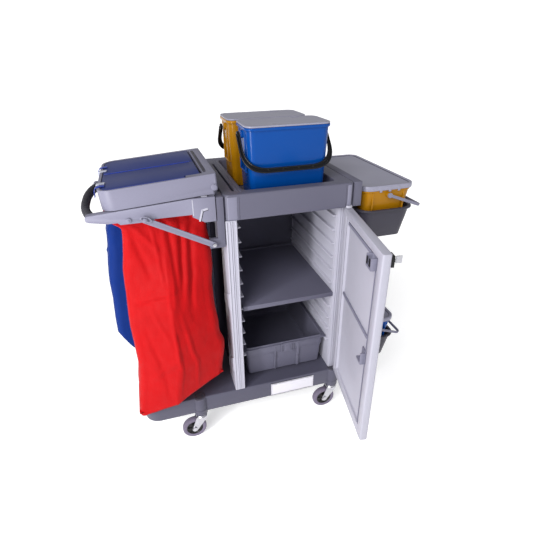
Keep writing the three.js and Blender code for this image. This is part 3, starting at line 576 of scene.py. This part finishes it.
def top_tray():
    # Outlines from under the well, out to the skirt, up over the rim and down into the well. Each is an inset
    # from the skirt or from the well's opening, a height and a corner radius.
    skirt, well = (LEFT, RIGHT, 0, DEPTH), (56, 394, 45, DEPTH - 45)
    outlines = [
        (well, [(-5, 996, 23), (-5, TRAY_EDGE, 23)]),
        (skirt, [(5, TRAY_EDGE, 17), (5, 960, 17), (4.4, 959.1, 17.6), (1, 959, 21), (0, 960.2, 22),
                 (-0.7, 967, 22), (0, 969, 22), (0, TRAY_EDGE, 22), (0.7, 1042.6, 21.6), (2.2, 1045.4, 20),
                 (4.4, 1046.8, 18), (7, TRAY_TOP, 16)]),
        (well, [(-7, TRAY_TOP, 25), (-2.6, 1046.4, 20.6), (-0.6, 1044, 18.6), (0, 1041, 18), (1.2, 1006, 17),
                (2.6, 1002.4, 16), (6, 1001, 13)]),
    ]
    rings = [ring(inset(box, i), r, z) for box, profile in outlines for i, z, r in profile]
    slot = loft([ring((18, 27, 40, 430), 4, z) for z in (1027, 1052)])
    grooves = [slab(x, x + 1.6, -2, 1.3, 950, 1042, 0.3) for x in (32, 417)]
    refine("top_tray", loft(rings), "cart_grey", cutters=[slot, *grooves])
    ribs = [slab(x, x + 4, 30, 507, 1045, 1048.5, 1.3) for x in (33, 43)]
    show("top_tray_ribs", joined(*ribs), "cart_grey", "cart")
    # A black floor at the bottom of the slot paints the shade in its depth.
    show("top_tray_slot_painted_shade", slab(17.4, 27.6, 39, 431, 1022, 1027.5, 0.6, 4), "painted_shade_black", "cart")
    corner = [slab(x0, x1, -1.4, 8, 962, 1040, 1.5, 3) for x0, x1 in ((-8, 26), (423, 438))]
    show("top_tray_corner_posts", joined(*corner), "light_grey", "cart")
    x = HINGE[0]
    lug = slab(x - 12, x + 12, 2, 14, 957, 965.5, 1.2, 3)
    pin = knob(5, 30, (x, 0, 950), "Z", 0.6)
    show("door_upper_lug", joined(knob(12, 9, (x, 2, 961), "Z"), lug, pin), "white_panel", "cart")
    show("door_lower_pin", knob(5, 20, (x, 0, 218), "Z", 0.6), "cart_grey", "cart")


def drawer():
    box = (48, 386, 60, 500)
    shell = [(30, 225.2, 10), (10, 225.2, 10), (8.4, 226, 12), (8, 228, 13), (2.6, 316, 14), (1.6, 320.5, 15),
             (-1.4, 322, 16), (-2, 323, 16), (-2, 354.6, 16), (-7.5, 355.8, 18), (-8, 356.6, 18),
             (-8, 359.2, 18), (-7.2, 360, 18), (-1, 360.4, 15), (0, 361.2, 14), (0.2, 365, 14), (0.8, 366, 14),
             (3.4, 366, 11), (4, 365, 11), (4.2, 356, 11), (12, 231, 9), (14, 229.4, 8), (40, 229.2, 6)]
    side_rims = [slab(x0, x1, 52.4, 505, 355.8, 359.8, 1.2) for x0, x1 in ((36.4, 50), (384, 399.6))]
    front = []
    for x, w in ((169, 5), (267, 12)):
        front.append(slab(x, x + w, 60, 70, 228, 292, 1.4))
        front.append(slab(x, x + w, 56, 64, 288, 361.6, 1.4))
    for x in (174, 272):
        front.append(slab(x - 18, x + 18, 50.6, 54, 356.2, 362, 1))
    pocket = slab(198, 254, 53, 62, 318, 362, 1.8, 2.4)
    holes = [slab(x, x + 6, 50, 57, 322, 368, 0.6) for x in (202, 244)]
    tongue = joined(slab(214, 238, 50.8, 54, 326, 356, 1.2), slab(218, 234, 49.8, 52, 346, 352, 0.8))
    refine("drawer", vessel(box, shell), "cart_grey")
    show("drawer_ribs", joined(*side_rims, *front), "cart_grey", "drawer")
    show("drawer_handle", pocket, "cart_grey", "drawer", cutters=holes)
    show("drawer_tongue", tongue, "cart_grey", "drawer")


def door():
    """The door. Its bars, light grey to paint the shade on the ledges of its inner recess, and the black slots
    of its clips, which paint the shade inside them, are drawn on the closed door and turned with it.
    """
    soften(door_panel=1.6, door_lock=1.0, door_key=0.4, door_upper_clip=1.3, door_lower_clip=1.3)
    bars = [slab(x0, 382.4, 8, 13.5, z - 5.6, z + 5.6, 1.4) for x0, z in ((101.6, 633), (141.6, 917))]
    bars += [slab(x, x + 3, 11, 14.3, 260, 925, 0.6) for x in (91, 393)]
    slots = [slab(x, x + 8, 30.4, 31.8, 893, 918, 0.5) for x in (97, 119)]
    # The bars' light grey is painted shade of the recess's ledges, and the clip slots' black is painted shade
    # inside the slots.
    for name, meshes, finish in (("inner_bars_painted_shade", bars, "light_grey"), ("clip_slots_painted_shade", slots, "painted_shade_black")):
        mesh = turned(joined(*meshes), HINGE, "Z", DOOR_ANGLE)
        show("door_" + name, mesh, finish, body_with("door_panel"))


# -------- casters


def caster(end, side):
    x, y = CASTER_X[side], CASTER_Y[end]
    place = f"{end}_{side}_caster"
    wx = x - TRAIL
    axle = (wx, y, WHEEL_RADIUS)
    cap = lathe([(0, 103.5), (21, 103.5), (23.5, 104.5), (24, 107), (23, 110), (19, 112.5), (18, 114),
                 (18, 119), (17, 121.4), (0, 121.5)], (x, y, 0), "Z", 40)
    legs = []
    outline = [(-23, 109), (20, 109), (20, 100), (-20, 46), (-26, 38.5), (-34, 36), (-42, 38.5), (-46, 46)]
    for y0, y1 in ((13.5, 16.6), (-16.6, -13.5)):
        leg = loft([[(x + a, b, y + d) for a, b in outline] for d in (y0, y1)])
        legs.append(swapped(leg, (0, 2, 1)))
    bridge = slab(x - 23, x + 20, y - 16, y + 16, 104, 109, 1.2, 6)
    refine(place + "_fork", joined(cap, bridge, *legs), "zinc", bevel=0.7)
    nut = knob(9.5, 5, (wx, y + 19.4, WHEEL_RADIUS), "Y", 0.9, 6)
    bolt = joined(knob(6, 40, axle, "Y", 0.8, 24), nut, knob(10, 4.4, (wx, y - 19, WHEEL_RADIUS), "Y", 1.6, 28))
    refine(place + "_axle", bolt, "zinc")
    half_tyre = [(34, -10.4), (37, -11.6), (44, -12), (47.4, -10.6), (49.3, -7)]
    tyre = lathe(half_tyre + [(WHEEL_RADIUS, 0)] + [(r, -h) for r, h in reversed(half_tyre)], axle, "Y", 72)
    refine(place + "_tyre", tyre, "tyre")
    half_hub = [(6.4, -12), (12, -12), (13.4, -11), (14.6, -7), (18, -5.6), (27, -5.6), (30, -7.6),
                (31.4, -10), (33.8, -10)]
    hub = lathe(half_hub + [(r, -h) for r, h in reversed(half_hub)], axle, "Y", 56)
    spoke = slab(wx + 12, wx + 31, y - 9, y + 9, WHEEL_RADIUS - 2, WHEEL_RADIUS + 2, 0.8)
    spokes = [turned(spoke, axle, "Y", 60 * k) for k in range(6)]
    refine(place + "_hub", joined(hub, *spokes), "black")


def casters():
    for end in CASTER_Y:
        for side in CASTER_X:
            caster(end, side)


# -------- buckets


def fluted_bail(centre, along):
    """A top bucket's bail: two round ribs, a thinner web between them, cross links and two end bosses."""
    half, reach, corner, gap, thick = 158.5, 143, 84, 8.4, 3.2
    c, a, d = Vector(centre), Vector((1, 0, 0)), Vector(along).normalized()
    n = a.cross(d)

    def u(spread, middle):
        bar = reach + spread + middle
        points = [(-half - spread, 0), (-half - spread, bar), (half + spread, bar), (half + spread, 0)]
        path = rounded_path([(p, q, 0) for p, q in points], corner, 14)
        return [c + a * p.x + d * p.y for p in path]

    outer, inner = u(gap / 2, 0), u(-gap / 2, -gap * 0.45)
    meshes = [swept(path, circle(thick, 12), n) for path in (outer, inner)]
    middle = [(p + q) / 2 for p, q in zip(outer, inner)]
    meshes.append(swept(middle, oblong(gap * 0.95, thick * 0.5, thick * 0.2), n))
    for k in (-0.5, -0.17, 0.17, 0.5):
        foot = c + a * (k * half) + d * (reach + gap / 2)
        meshes.append(swept([foot, foot - d * gap * 1.4], circle(thick * 0.85, 10), n))
    for side in (-1, 1):
        meshes.append(boss_on(c + a * half * side, a, gap * 0.85 + thick, thick * 2.5))
    return joined(*meshes)


def boss_on(centre, axis, radius, height):
    """A short round boss about any axis."""
    axis = Vector(axis).normalized()
    side = axis.orthogonal().normalized()
    other = axis.cross(side)
    rings = []
    for r, h in ((0.02, -0.5), (0.86, -0.5), (1, -0.36), (1, 0.36), (0.86, 0.5), (0.02, 0.5)):
        foot = Vector(centre) + axis * h * height
        rings.append([tuple(foot + (side * cos(t) + other * sin(t)) * r * radius) for t in turns(28)])
    return loft(rings)


def top_bucket(colour, forward):
    x0, x1, y0, y1 = inset(extent(colour + "_bucket_lid"), -1)
    cx, cy = (x0 + x1) / 2, (y0 + y1) / 2
    profile = [(60, 1002.6, 6), (21, 1002.6, 12), (18, 1003.4, 15), (17, 1006, 16), (5.8, 1222, 26),
               (5.2, 1230.5, 26.5), (0.9, 1231.4, 30.4), (0, 1232.6, 31), (0, 1239.4, 31), (0.5, 1240.6, 30.6),
               (1.6, 1241, 30), (7, 1241, 25), (8, 1240, 24), (8.4, 1232, 23), (20, 1008, 14), (24, 1005.8, 12),
               (60, 1005.6, 6)]
    parts = [vessel((x0, x1, y0, y1), profile, steps=10)]
    for side in (-1, 1):
        wall = cx + side * (x1 - x0) / 2
        parts.append(knob(13, 12, (cx + side * 144.4, cy, TOP_PIVOT), "X", 1.4))
        for y in (cy - 34, cy + 34):
            parts.append(slab(wall - side * 12, wall - side * 4.4, y - 3, y + 3, 1090, 1231, 2))
        parts.append(slab(wall - side * 14, wall - side * 6.6, cy - 37, cy + 37, 1087, 1093, 2))
    refine(colour + "_bucket", joined(*parts), colour)
    lid = [(40, 1241.4, 10), (3, 1241.4, 27), (1.2, 1241.7, 29), (0.6, 1242.6, 30), (0.6, 1245.2, 30),
           (1.2, 1246.6, 29.4), (2.8, 1247.4, 28), (8, 1247.7, 25), (9.6, 1247.1, 24), (12, 1246.9, 22),
           (36, 1246.6, 12)]
    lug = slab(cx + 52, cx + 84, y1 - 22, y1 - 8, 1245, 1248.6, 1.3, 5)
    node = colour + "_bucket_lid"
    mesh = joined(vessel((x0, x1, y0, y1), lid, steps=10), lug)
    # The lids' pale grey holds a painted reflection of white light on their glossy tops.
    show(colour + "_lid_finished", mesh, "lid_grey", node, [node])
    slope = radians(49)
    along = (0, -cos(slope) if forward else cos(slope), -sin(slope))
    node = colour + "_bucket_bail"
    show(colour + "_bail_finished", fluted_bail((cx, cy, TOP_PIVOT), along), "black", node, [node])


def side_unit(place, colour):
    """A tray with a bucket on a rail. Its pieces are drawn at the upper unit's height, then moved down."""
    x0, x1, y0, y1, _, top = extent(place + "_side_tray")
    drop = SIDE_TRAY_TOP - top
    middle_x, middle_y = SIDE_MIDDLE

    def part(kind, finish, *meshes):
        refine(f"{place}_side_{kind}", moved(joined(*meshes), z=-drop), finish)

    softened(place + "_side_rail", 1.4)
    tray = [(60, 809.4, 14), (35, 809.4, 20), (31.5, 810.4, 26), (30, 813, 30), (12.2, 905, 43),
            (11.6, 917, 44), (10, 921, 45), (4, 922.4, 50), (0.6, 923.6, 53), (0, 925.4, 54), (0.4, 928, 53.6),
            (2, SIDE_TRAY_TOP - 0.2, 52), (5, SIDE_TRAY_TOP, 49), (11, 929.6, 43), (13.4, 927, 41),
            (14, 921, 40), (34, 816, 26), (38, 813.8, 22), (60, 813.4, 14)]
    ribs = [slab(x1 - 30, x1 - 6, y - 2.5, y + 2.5, 912, 924, 1.4) for y in (120, 265, 410)]
    part("tray", "dark_grey", vessel((x0, x1, y0, y1), tray, 10), *ribs)

    bucket = [(70, 820, 8), (34, 820, 12), (31, 821, 16), (30, 823.6, 18), (4, 985, 33), (3.4, 994, 34),
              (0.6, 995, 34), (0, 996, 34), (0, 1000.6, 34), (1, 1002, 33), (3, 1002, 31), (4, 1000, 30),
              (33, 826, 15), (37, 823.4, 12), (70, 823, 8)]
    parts = [vessel((494, 698, 14, 506), bucket, 10)]
    for y, inwards in ((9.5, 1), (510.5, -1)):
        parts.append(knob(11, 16, (middle_x, y + inwards * 8, SIDE_PIVOT), "Y", 1.2))
        for x in (middle_x - 63, middle_x + 63):
            parts.append(slab(x - 3, x + 3, y + inwards * 6, y + inwards * 14, 900, 994, 1.8))
        parts.append(slab(middle_x - 63, middle_x + 63, y + inwards * 9, y + inwards * 17, 897, 903, 1.8))
    part("bucket", colour, *parts)

    lid_box = (490, 706, 10, 510)
    lid = [(70, 1013, 8), (7, 1013, 33), (5.4, 1012, 35), (5, 1003.6, 36), (4.4, 1002.4, 36), (1, 1002.4, 39),
           (0.2, 1003.4, 40), (0, 1006, 40), (0, 1015, 40), (0.8, 1018.4, 39.4), (2.6, 1020, 38), (8, 1020, 34),
           (10.4, 1019, 32), (12.4, 1016.4, 30), (15, 1015.6, 27), (70, 1015.4, 8)]
    latch = []
    for y, inwards in ((9.4, 1), (510.6, -1)):
        latch.append(slab(middle_x - 42, middle_x + 42, y, y + inwards * 3, 1002.6, 1015, 1, 2))
        for x in (556, 593, 630):
            latch.append(slab(x, x + 10, y - inwards * 0.2, y + inwards * 2, 996.4, 1015, 0.8))
    part("lid", "lid_grey", vessel(lid_box, lid, 10), *latch)
    # A thin dark ring inside the lid's rim paints the shade along the rim's inner edge.
    section = [(12.6, 1015.2), (12.6, 1017.2), (14.8, 1016.2), (14.8, 1015.2)]
    rim_shade_ring = loft([ring(inset(lid_box, i), 40 - i, z, 10) for i, z in section], closed=True)
    show(place + "_side_lid_painted_rim_shade", moved(rim_shade_ring, z=-drop), "dark_grey", place + "_side_lid")

    half, reach = 255.2, 150
    slope = radians(21)
    pivot = Vector((middle_x, middle_y, SIDE_PIVOT))
    along = Vector((cos(slope), 0, -sin(slope)))
    bend = rounded_path([(-half, 0, 0), (-half, reach, 0), (half, reach, 0), (half, 0, 0)], 30)
    path = [pivot + Vector((0, p.x, 0)) + along * p.y for p in bend]
    bosses = [boss_on(pivot + Vector((0, y, 0)), (0, 1, 0), 9.5, 7) for y in (-half, half)]
    part("bail", "light_grey", swept(path, oblong(6.4, 11, 2.6), Vector((0, 1, 0)).cross(along)), *bosses)


# -------- waste bag holder


def tilted(mesh):
    """A mesh drawn about the lid frame's hinge pin, in place on the cart."""
    return turned(moved(mesh, PIN[0], 0, PIN[2]), PIN, "Y", -LID_TILT)


def holder():
    soften(holder_front_post=1.8, holder_rear_post=1.8, holder_front_pin=0.9, holder_rear_pin=0.9)
    soften(holder_front_arm=2.6, holder_rear_arm=2.6, bag_rim=1.6, front_brace=1.2, rear_brace=1.2)
    soften(lid_frame=1.6, front_lid=1.4, rear_lid=1.4)
    grip()
    for end in ("front", "rear"):
        end_trims(end)
    lid_trims()


def grip():
    """The bowed grip between the arms, with rings round it at every second step of its path."""
    apex, bow, middle, steps = -454, 28, HOLDER_DEPTH / 2, 40
    half = middle - RIM["front"]
    path = []
    for i in range(steps + 1):
        t = -1 + 2 * i / steps
        path.append((apex + bow * abs(t) ** 2.6, middle + t * half, 1014))
    rings = [swept(path, [(12.3 * cos(t), 14.6 * sin(t)) for t in turns(28)], (0, 0, 1))]
    for i in range(3, steps - 2, 2):
        before, centre, after = (Vector(path[i + k]) for k in (-1, 0, 1))
        along = (after - before).normalized()
        side = along.cross(Vector((0, 0, 1)))
        loop = [centre + side * 12.7 * cos(t) + Vector((0, 0, 15 * sin(t))) for t in turns(28)]
        rings.append(swept(loop, circle(0.9, 6), along, closed=True))
    refine("holder_grip", joined(*rings), "grip_rubber")


def end_trims(end):
    """Levers, pegs, screw heads and caps at one end of the holder. All are drawn at its front end."""

    def trim(name, finish, body, *meshes):
        mesh = joined(*meshes)
        show(f"{end}_{name}", mirrored(mesh) if end == "rear" else mesh, finish, body)

    top, stem = (-81, 0, 1009), (-91, 0, 1006)
    trim("block_lever", "white_panel", "bag_frame",
         turned(slab(-90, -72, -2.35, -1.6, 1006, 1013, 0.3), top, "Y", -12),
         turned(slab(-94, -88, -2.35, -1.6, 970, 1010, 0.3), stem, "Y", 16))
    # Dark strips along the lever's outline paint the shadow it would cast on the block.
    trim("block_lever_painted_shadow", "painted_shade_black", "bag_frame",
         turned(slab(-91, -71, -2.2, -1.6, 1004, 1007, 0.2), top, "Y", -12),
         turned(slab(-88, -85.6, -2.2, -1.6, 970, 1010, 0.2), stem, "Y", 16))
    trim("block_peg", "white_panel", "bag_frame",
         slab(-90, -70, 6, 15, 1046, 1053, 1.4), slab(-121, -117.6, -2.4, 24, 992, 1046, 1.2))
    trim("arm_screw", "light_grey", "bag_frame",
         knob(8, 5, (-319, -2.4, 1001), "Y", 1.2), knob(3.6, 2.2, (-319, -5.4, 1001), "Y", 0.8, 6))
    path = [(-267 + 17 * cos(t), -12.6, 1002 + 7 * sin(t)) for t in turns(30)]
    loop = turned(swept(path, circle(1.8, 8), (0, 1, 0), closed=True), (-267, 0, 1002), "Y", 22)
    trim("brace_ring", "light_grey", f"{end}_brace", loop, knob(5.2, 4, (-271, -12.6, 998), "Y", 1, 24))
    trim("brace_screw", "zinc", f"{end}_brace",
         knob(6.4, 3, (-60, -11, 884), "Y", 1), knob(2.8, 2, (-60, -12.8, 884), "Y", 0.5, 6))
    trim("hinge_cap", "light_grey", "lid_frame", tilted(knob(10.5, 2.6, (0, 1.2, 0), "Y", 0.9)))


def lid_trims():
    """Piping, pull tabs and clips of the two lids, and a dark strip along the lid frame that paints the shadow
    in the gap beside the lids.
    """
    show("front_lid_edge", tilted(slab(-333, -84, 12.6, 15.6, 29.4, 43.2, 1.2)), "piping", "front_lid")
    show("rear_lid_edge", tilted(slab(-333, -46, 205.4, 208.8, 30, 43.4, 1.2)), "piping", "rear_lid")
    for end, y in (("front", 60), ("rear", 300)):
        path = rounded_path([(-326, y, 44.6), (-346, y, 46), (-358, y, 40), (-361, y, 14)], 9, 6)
        tab = tilted(swept(path, oblong(1.8, 20, 0.8), (0, 1, 0)))
        show(f"{end}_lid_pull_tab", tab, "piping", f"{end}_lid")
    for end, y in (("front", 88), ("rear", 246)):
        hook = slab(-353, -349.4, y - 9, y + 9, 32, 45, 1.2)
        clip = tilted(joined(slab(-352, -326, y - 9, y + 9, 42.4, 46.4, 1.6, 3), hook))
        show(f"{end}_lid_clip", clip, "clear_clip", f"{end}_lid")
    # The dark strip is painted shadow of the gap between the lids and the frame's beam.
    show("lid_frame_painted_gap_shadow", tilted(slab(-23, -14, 40, 360, 41.6, 44.2, 1.0)), "dark_grey", "lid_frame")


# -------- bags


def smooth(t, a, b):
    t = min(1, max(0, (t - a) / (b - a)))
    return t * t * (3 - 2 * t)


def crease(u, v, a, b, width):
    """How near (u, v) lies to the line from a to b: a soft ridge up to 1 high that fades at both ends."""
    dx, dy = b[0] - a[0], b[1] - a[1]
    t = min(1, max(0, ((u - a[0]) * dx + (v - a[1]) * dy) / (dx * dx + dy * dy)))
    d = hypot(u - a[0] - t * dx, v - a[1] - t * dy)
    fade = sin(pi * min(0.5, 0.12 + t if t < 0.5 else 1.12 - t))
    return exp(-((d / width) ** 2)) * fade


COLUMNS = 40  # along the front or back of a bag; its sides have half as many
ROWS = 110


def bag_outline(left, right, front, back, corner):
    """Points round a level section: place, outward direction, side, and how far along that side."""
    sides = [("front", -90, (left + corner, front), (right - corner, front)),
             ("right", 0, (right, front + corner), (right, back - corner)),
             ("back", 90, (right - corner, back), (left + corner, back)),
             ("left", 180, (left, back - corner), (left, front + corner))]
    points = []
    for side, facing, a, b in sides:
        nx, ny = round(cos(radians(facing))), round(sin(radians(facing)))
        count = COLUMNS if side in ("front", "back") else COLUMNS // 2
        for j in range(count + 1):
            t = j / count
            u = t if side in ("front", "right") else 1 - t
            points.append((a[0] + (b[0] - a[0]) * t, a[1] + (b[1] - a[1]) * t, nx, ny, side, u))
        middle_x, middle_y = b[0] - nx * corner, b[1] - ny * corner
        for j in range(1, 5):
            angle = radians(facing + 90 * j / 5)
            c, s = cos(angle), sin(angle)
            points.append((middle_x + corner * c, middle_y + corner * s, c, s, side + "_corner", j / 5))
    return points


def bag_surface(shape, relief):
    """A sack from its rim to its open bottom. shape gives each level's left, right, front and back and the
    heights of its bottom; relief pushes each point outwards."""
    rings = []
    for i in range(ROWS + 1):
        v = i / ROWS
        left, right, front, back = (shape[k](v) for k in ("left", "right", "front", "back"))
        points = []
        for x, y, nx, ny, side, u in bag_outline(left, right, front, back, 14 + 16 * smooth(v, 0, 0.2)):
            across = (x - left) / (right - left)
            z = shape["top"] + (shape["bottom"](across) - shape["top"]) * v
            if side in ("front", "left_corner"):
                z -= shape.get("dip", 0) * (1 - smooth(across, 0, 0.7)) * smooth(v, 0.8, 1)
            push = relief(side, u, v, x, y, z)
            points.append((x + nx * push, y + ny * push, z))
        rings.append(points)
    return rings


def closed_bottom(last, sag, pull):
    """Rows that draw the last outline in to the bottom seam, no lower than the base."""
    lowest, steps = 219, 8
    middle_y = sum(p[1] for p in last) / len(last)
    low_y = min(p[1] for p in last)
    seam = low_y + (middle_y - low_y) * pull
    made = []
    for k in range(1, steps + 1):
        t = k / steps
        inwards, level = smooth(t, 0, 1) * 0.985, smooth(t, 0, 0.4)
        rise = sag * sin(pi * t / 2)
        made.append([(x, y + (seam - y) * inwards, z + (max(z, lowest) - z) * level + rise)
                     for x, y, z in last])
    return made


def cuffs(box, outer):
    """Rows of cloth that come up inside the hoop, over it and down its outside."""
    x0, x1, y0, y1 = box
    rows = []
    for by, z in [(0.6, 984), (0.4, 996), (0, 1008), (-3, 1012.6), (-6.5, 1014), (-10, 1012.8), (-11.8, 1008),
                  (-11.9, 1000), (-11.5, 996)]:
        front = y0 + (by if outer != "back" else max(by, 0))
        back = y1 - (by if outer != "front" else max(by, 0))
        rows.append([(x, y, z) for x, y, *_ in bag_outline(x0 + by, x1 - by, front, back, 13)])
    return rows


def bag(colour, box, shape, relief, outer, sag, pull):
    rings = bag_surface(shape, relief)
    rows = cuffs(box, outer) + rings + closed_bottom(rings[-1], sag, pull)
    data = mesh_data(colour + "_bag", loft(rows, caps=False))
    piece = placed(colour + "_bag_cloth", cleaned(data, WELD / 10))
    thick = piece.modifiers.new("cloth", "SOLIDIFY")
    thick.thickness, thick.offset = 0.0009, -1
    settle(piece)
    piece.data.materials.append(MATERIALS[colour + "_cloth"])
    piece.data.shade_smooth()
    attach(piece, "bag_frame")
    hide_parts(colour + "_bag")
    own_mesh(piece)


def wrinkles(x, y, z, v, amount, wide, fine):
    """Wide soft folds and fine ones, which fade in below the rim. wide and fine are their lengths."""
    coarse, small = (noise.noise(Vector((x / k[0], y / k[1], z / k[2]))) for k in (wide, fine))
    return amount * (coarse - 0.1) * smooth(v, 0.02, 0.12) + small * smooth(v, 0.02, 0.1)


# Creases of one side of a bag: how far they stand out, their two ends and their width.
RED_FRONT = [
    (5, (0.02, 0.38), (0.56, 0.365), 0.011), (-3.4, (0.02, 0.40), (0.56, 0.385), 0.011),
    (6, (0.46, 0.02), (0.48, 0.98), 0.016), (-12, (0.72, 0.0), (0.66, 0.4), 0.035),
    (-10, (0.86, 0.0), (0.78, 0.5), 0.04), (5, (0.08, 0.04), (0.36, 0.16), 0.02),
    (-5, (0.04, 0.1), (0.26, 0.28), 0.03), (5, (0.3, 0.03), (0.42, 0.34), 0.014),
    (3, (0.2, 0.42), (0.4, 0.62), 0.02), (-5, (0.1, 0.55), (0.34, 0.95), 0.035),
    (4, (0.06, 0.8), (0.5, 0.72), 0.02), (5, (0.62, 0.5), (0.74, 0.98), 0.02),
]
BLUE_LEFT = [(5, (0.3, 0.02), (0.5, 0.8), 0.05), (-5, (0.7, 0.02), (0.6, 0.6), 0.06),
             (3, (0.05, 0.38), (0.95, 0.36), 0.014)]
BLUE_BACK = [(4, (0.02, 0.36), (0.98, 0.37), 0.012), (-7, (0.3, 0.0), (0.36, 0.5), 0.035),
             (-7, (0.72, 0.0), (0.66, 0.45), 0.035)]


def creases(u, v, lines):
    return sum(amount * crease(u, v, a, b, width) for amount, a, b, width in lines)


def red_relief(side, u, v, x, y, z):
    push = wrinkles(x, y, z, v, 2.2, (60, 60, 150), (17, 17, 38))
    if side == "front":
        ridge = 0.46 + 0.05 * sin(5 * v)
        share, height = (ridge, 0.9) if u < ridge else (1 - ridge, 1)
        push += 42 * smooth(v, 0.02, 0.4) * (1 - abs(u - ridge) / share) * height
        push -= 9 * crease(u, v, (0.52, 0.0), (0.62, 0.45), 0.03) * (1 - v)
        push += creases(u, v, RED_FRONT)
    elif side == "right":
        push -= 8 * sin(pi * u) * smooth(v, 0.02, 0.3)
        push += 2 * sin(9 * u + 4 * v) * smooth(v, 0.0, 0.2)
    elif side == "left":
        push -= 6 * sin(pi * u) * smooth(v, 0.1, 0.5)
    elif side == "back":
        return min(push, 0) * 0.8 - 1
    return push


def blue_relief(side, u, v, x, y, z):
    push = wrinkles(x, y, z, v, 2.4, (70, 50, 140), (19, 15, 36))
    if side == "left":
        push += creases(u, v, BLUE_LEFT)
    elif side == "back":
        push += 12 * smooth(v, 0.02, 0.5) * (1 - abs(u - 0.5) / 0.5)
        push += creases(u, v, BLUE_BACK)
    elif side == "front":
        return min(push, 0) * 0.8 - 1
    return push


def edge(start, *steps):
    """A side of a bag from its rim, v = 0, to its bottom: smooth changes, each with its first and last v."""
    return lambda v: start + sum(change * smooth(v, a, b) for change, a, b in steps)


def bags():
    """Two bags, side by side in the hoop. A flat size is the girth of the hoop's opening, by the cuff, the mean
    drop and half the bottom's depth together."""
    left, right = RIM["left"], RIM["right"]
    middle = (RIM["front"] + RIM["back"]) / 2
    red_shape = {
        "left": edge(left + 11, (37, 0, 0.05), (-22, 0.05, 0.28), (-7, 0.28, 0.5), (4, 0.5, 0.7),
                     (-28, 0.7, 1)),
        "right": edge(right - 9, (10, 0, 0.05), (8, 0.08, 0.2), (-8, 0.3, 0.42), (9, 0.5, 0.7), (16, 0.7, 0.8),
                      (-17, 0.8, 1)),
        "front": edge(29.5, (-54, 0.12, 0.7)),
        "back": edge(middle - 8),
        "top": 996, "bottom": lambda across: 217.5 + 127.5 * across, "dip": 16,
    }
    bag("red", (left + 11.5, right - 11.5, 37.6, middle - 6.4), red_shape, red_relief, "front", 5, 0.3)
    blue_shape = {
        "left": edge(left + 11, (-31, 0.06, 0.22), (-24, 0.22, 0.6), (-8, 0.6, 0.9)),
        "right": edge(right - 8, (10, 0.5, 1)),
        "front": edge(middle + 9),
        "back": edge(371, (14, 0.2, 0.8)),
        "top": 996, "bottom": lambda across: 385 - 155 * across + 62 * (1 - smooth(across, 0, 0.16)),
    }
    bag("blue", (left + 11.5, right - 11.5, middle + 6.4, 362.4), blue_shape, blue_relief, "back", 5, 0.5)


# -------- camera, floor and light


def aim(name, light, place, target):
    lamp = placed(name, light)
    lamp.location = at(*place)
    lamp.rotation_mode = "QUATERNION"
    lamp.rotation_quaternion = (target - lamp.location).to_track_quat("-Z", "Y")


def studio():
    position = at(-248.24, -1278.39, 1467.05)
    yaw, pitch, roll = (radians(d) for d in (16.137, 27.657, -0.87))
    forward = Vector((sin(yaw) * cos(pitch), cos(yaw) * cos(pitch), -sin(pitch)))
    level = Vector((cos(yaw), -sin(yaw), 0))
    upright = level.cross(forward)
    right = cos(roll) * level + sin(roll) * upright
    up = cos(roll) * upright - sin(roll) * level
    data = bpy.data.cameras.new("camera")
    data.sensor_width, data.lens = 36, 28.19
    data.clip_start, data.clip_end = 0.05, 90
    camera = placed("camera", data)
    camera.matrix_world = Matrix((
        (right.x, up.x, -forward.x, position.x), (right.y, up.y, -forward.y, position.y),
        (right.z, up.z, -forward.z, position.z), (0, 0, 0, 1)))
    bpy.context.scene.camera = camera

    floor_data = bpy.data.meshes.new("floor")
    half = 80
    corners = [(-half, -half, 0), (half, -half, 0), (half, half, 0), (-half, half, 0)]
    floor_data.from_pydata(corners, [], [(0, 1, 2, 3)])
    floor = placed("floor", floor_data)
    pale = Finish("pale_floor", 0.9)
    pale.color(pale.mix(pale.noise(3), [0.80, 0.80, 0.805, 1], [0.82, 0.82, 0.825, 1]))
    pale.set(Specular_IOR_Level=0.0, Emission_Color=(1, 1, 1, 1), Emission_Strength=0.5)
    floor_data.materials.append(pale.material)

    # The world lights the cart with a strength of 0.4, and the camera sees it as white.
    world = bpy.data.worlds.new("studio")
    world.use_nodes = True
    nodes, links = world.node_tree.nodes, world.node_tree.links
    seen = nodes.new("ShaderNodeMapRange")
    seen.inputs["To Min"].default_value, seen.inputs["To Max"].default_value = 0.4, 1.1
    links.new(nodes.new("ShaderNodeLightPath").outputs["Is Camera Ray"], seen.inputs["Value"])
    links.new(seen.outputs["Result"], nodes["Background"].inputs["Strength"])
    nodes["Background"].inputs["Color"].default_value = (0.99, 0.99, 1, 1)
    bpy.context.scene.world = world

    target = at(120, 250, 600)
    suns = (("key", (-1500, -1500, 2300), 2.3, 35), ("fill", (1900, -1900, 1400), 0.35, 60))
    for name, place, strength, angle in suns:
        light = bpy.data.lights.new(name, "SUN")
        light.energy, light.angle = strength, radians(angle)
        aim(name, light, place, target)
    strip = bpy.data.lights.new("strip", "AREA")
    strip.shape, strip.size, strip.size_y, strip.energy = "RECTANGLE", 0.16, 0.9, 16
    aim("strip", strip, (-1170, -776, 900), at(100, 60, 1130))
    bpy.context.scene.view_settings.view_transform = "Standard"


studio()
base()
cabinet()
top_tray()
drawer()
door()
casters()
top_bucket("blue", True)
top_bucket("yellow", False)
side_unit("upper", "yellow")
side_unit("lower", "blue")
holder()
bags()
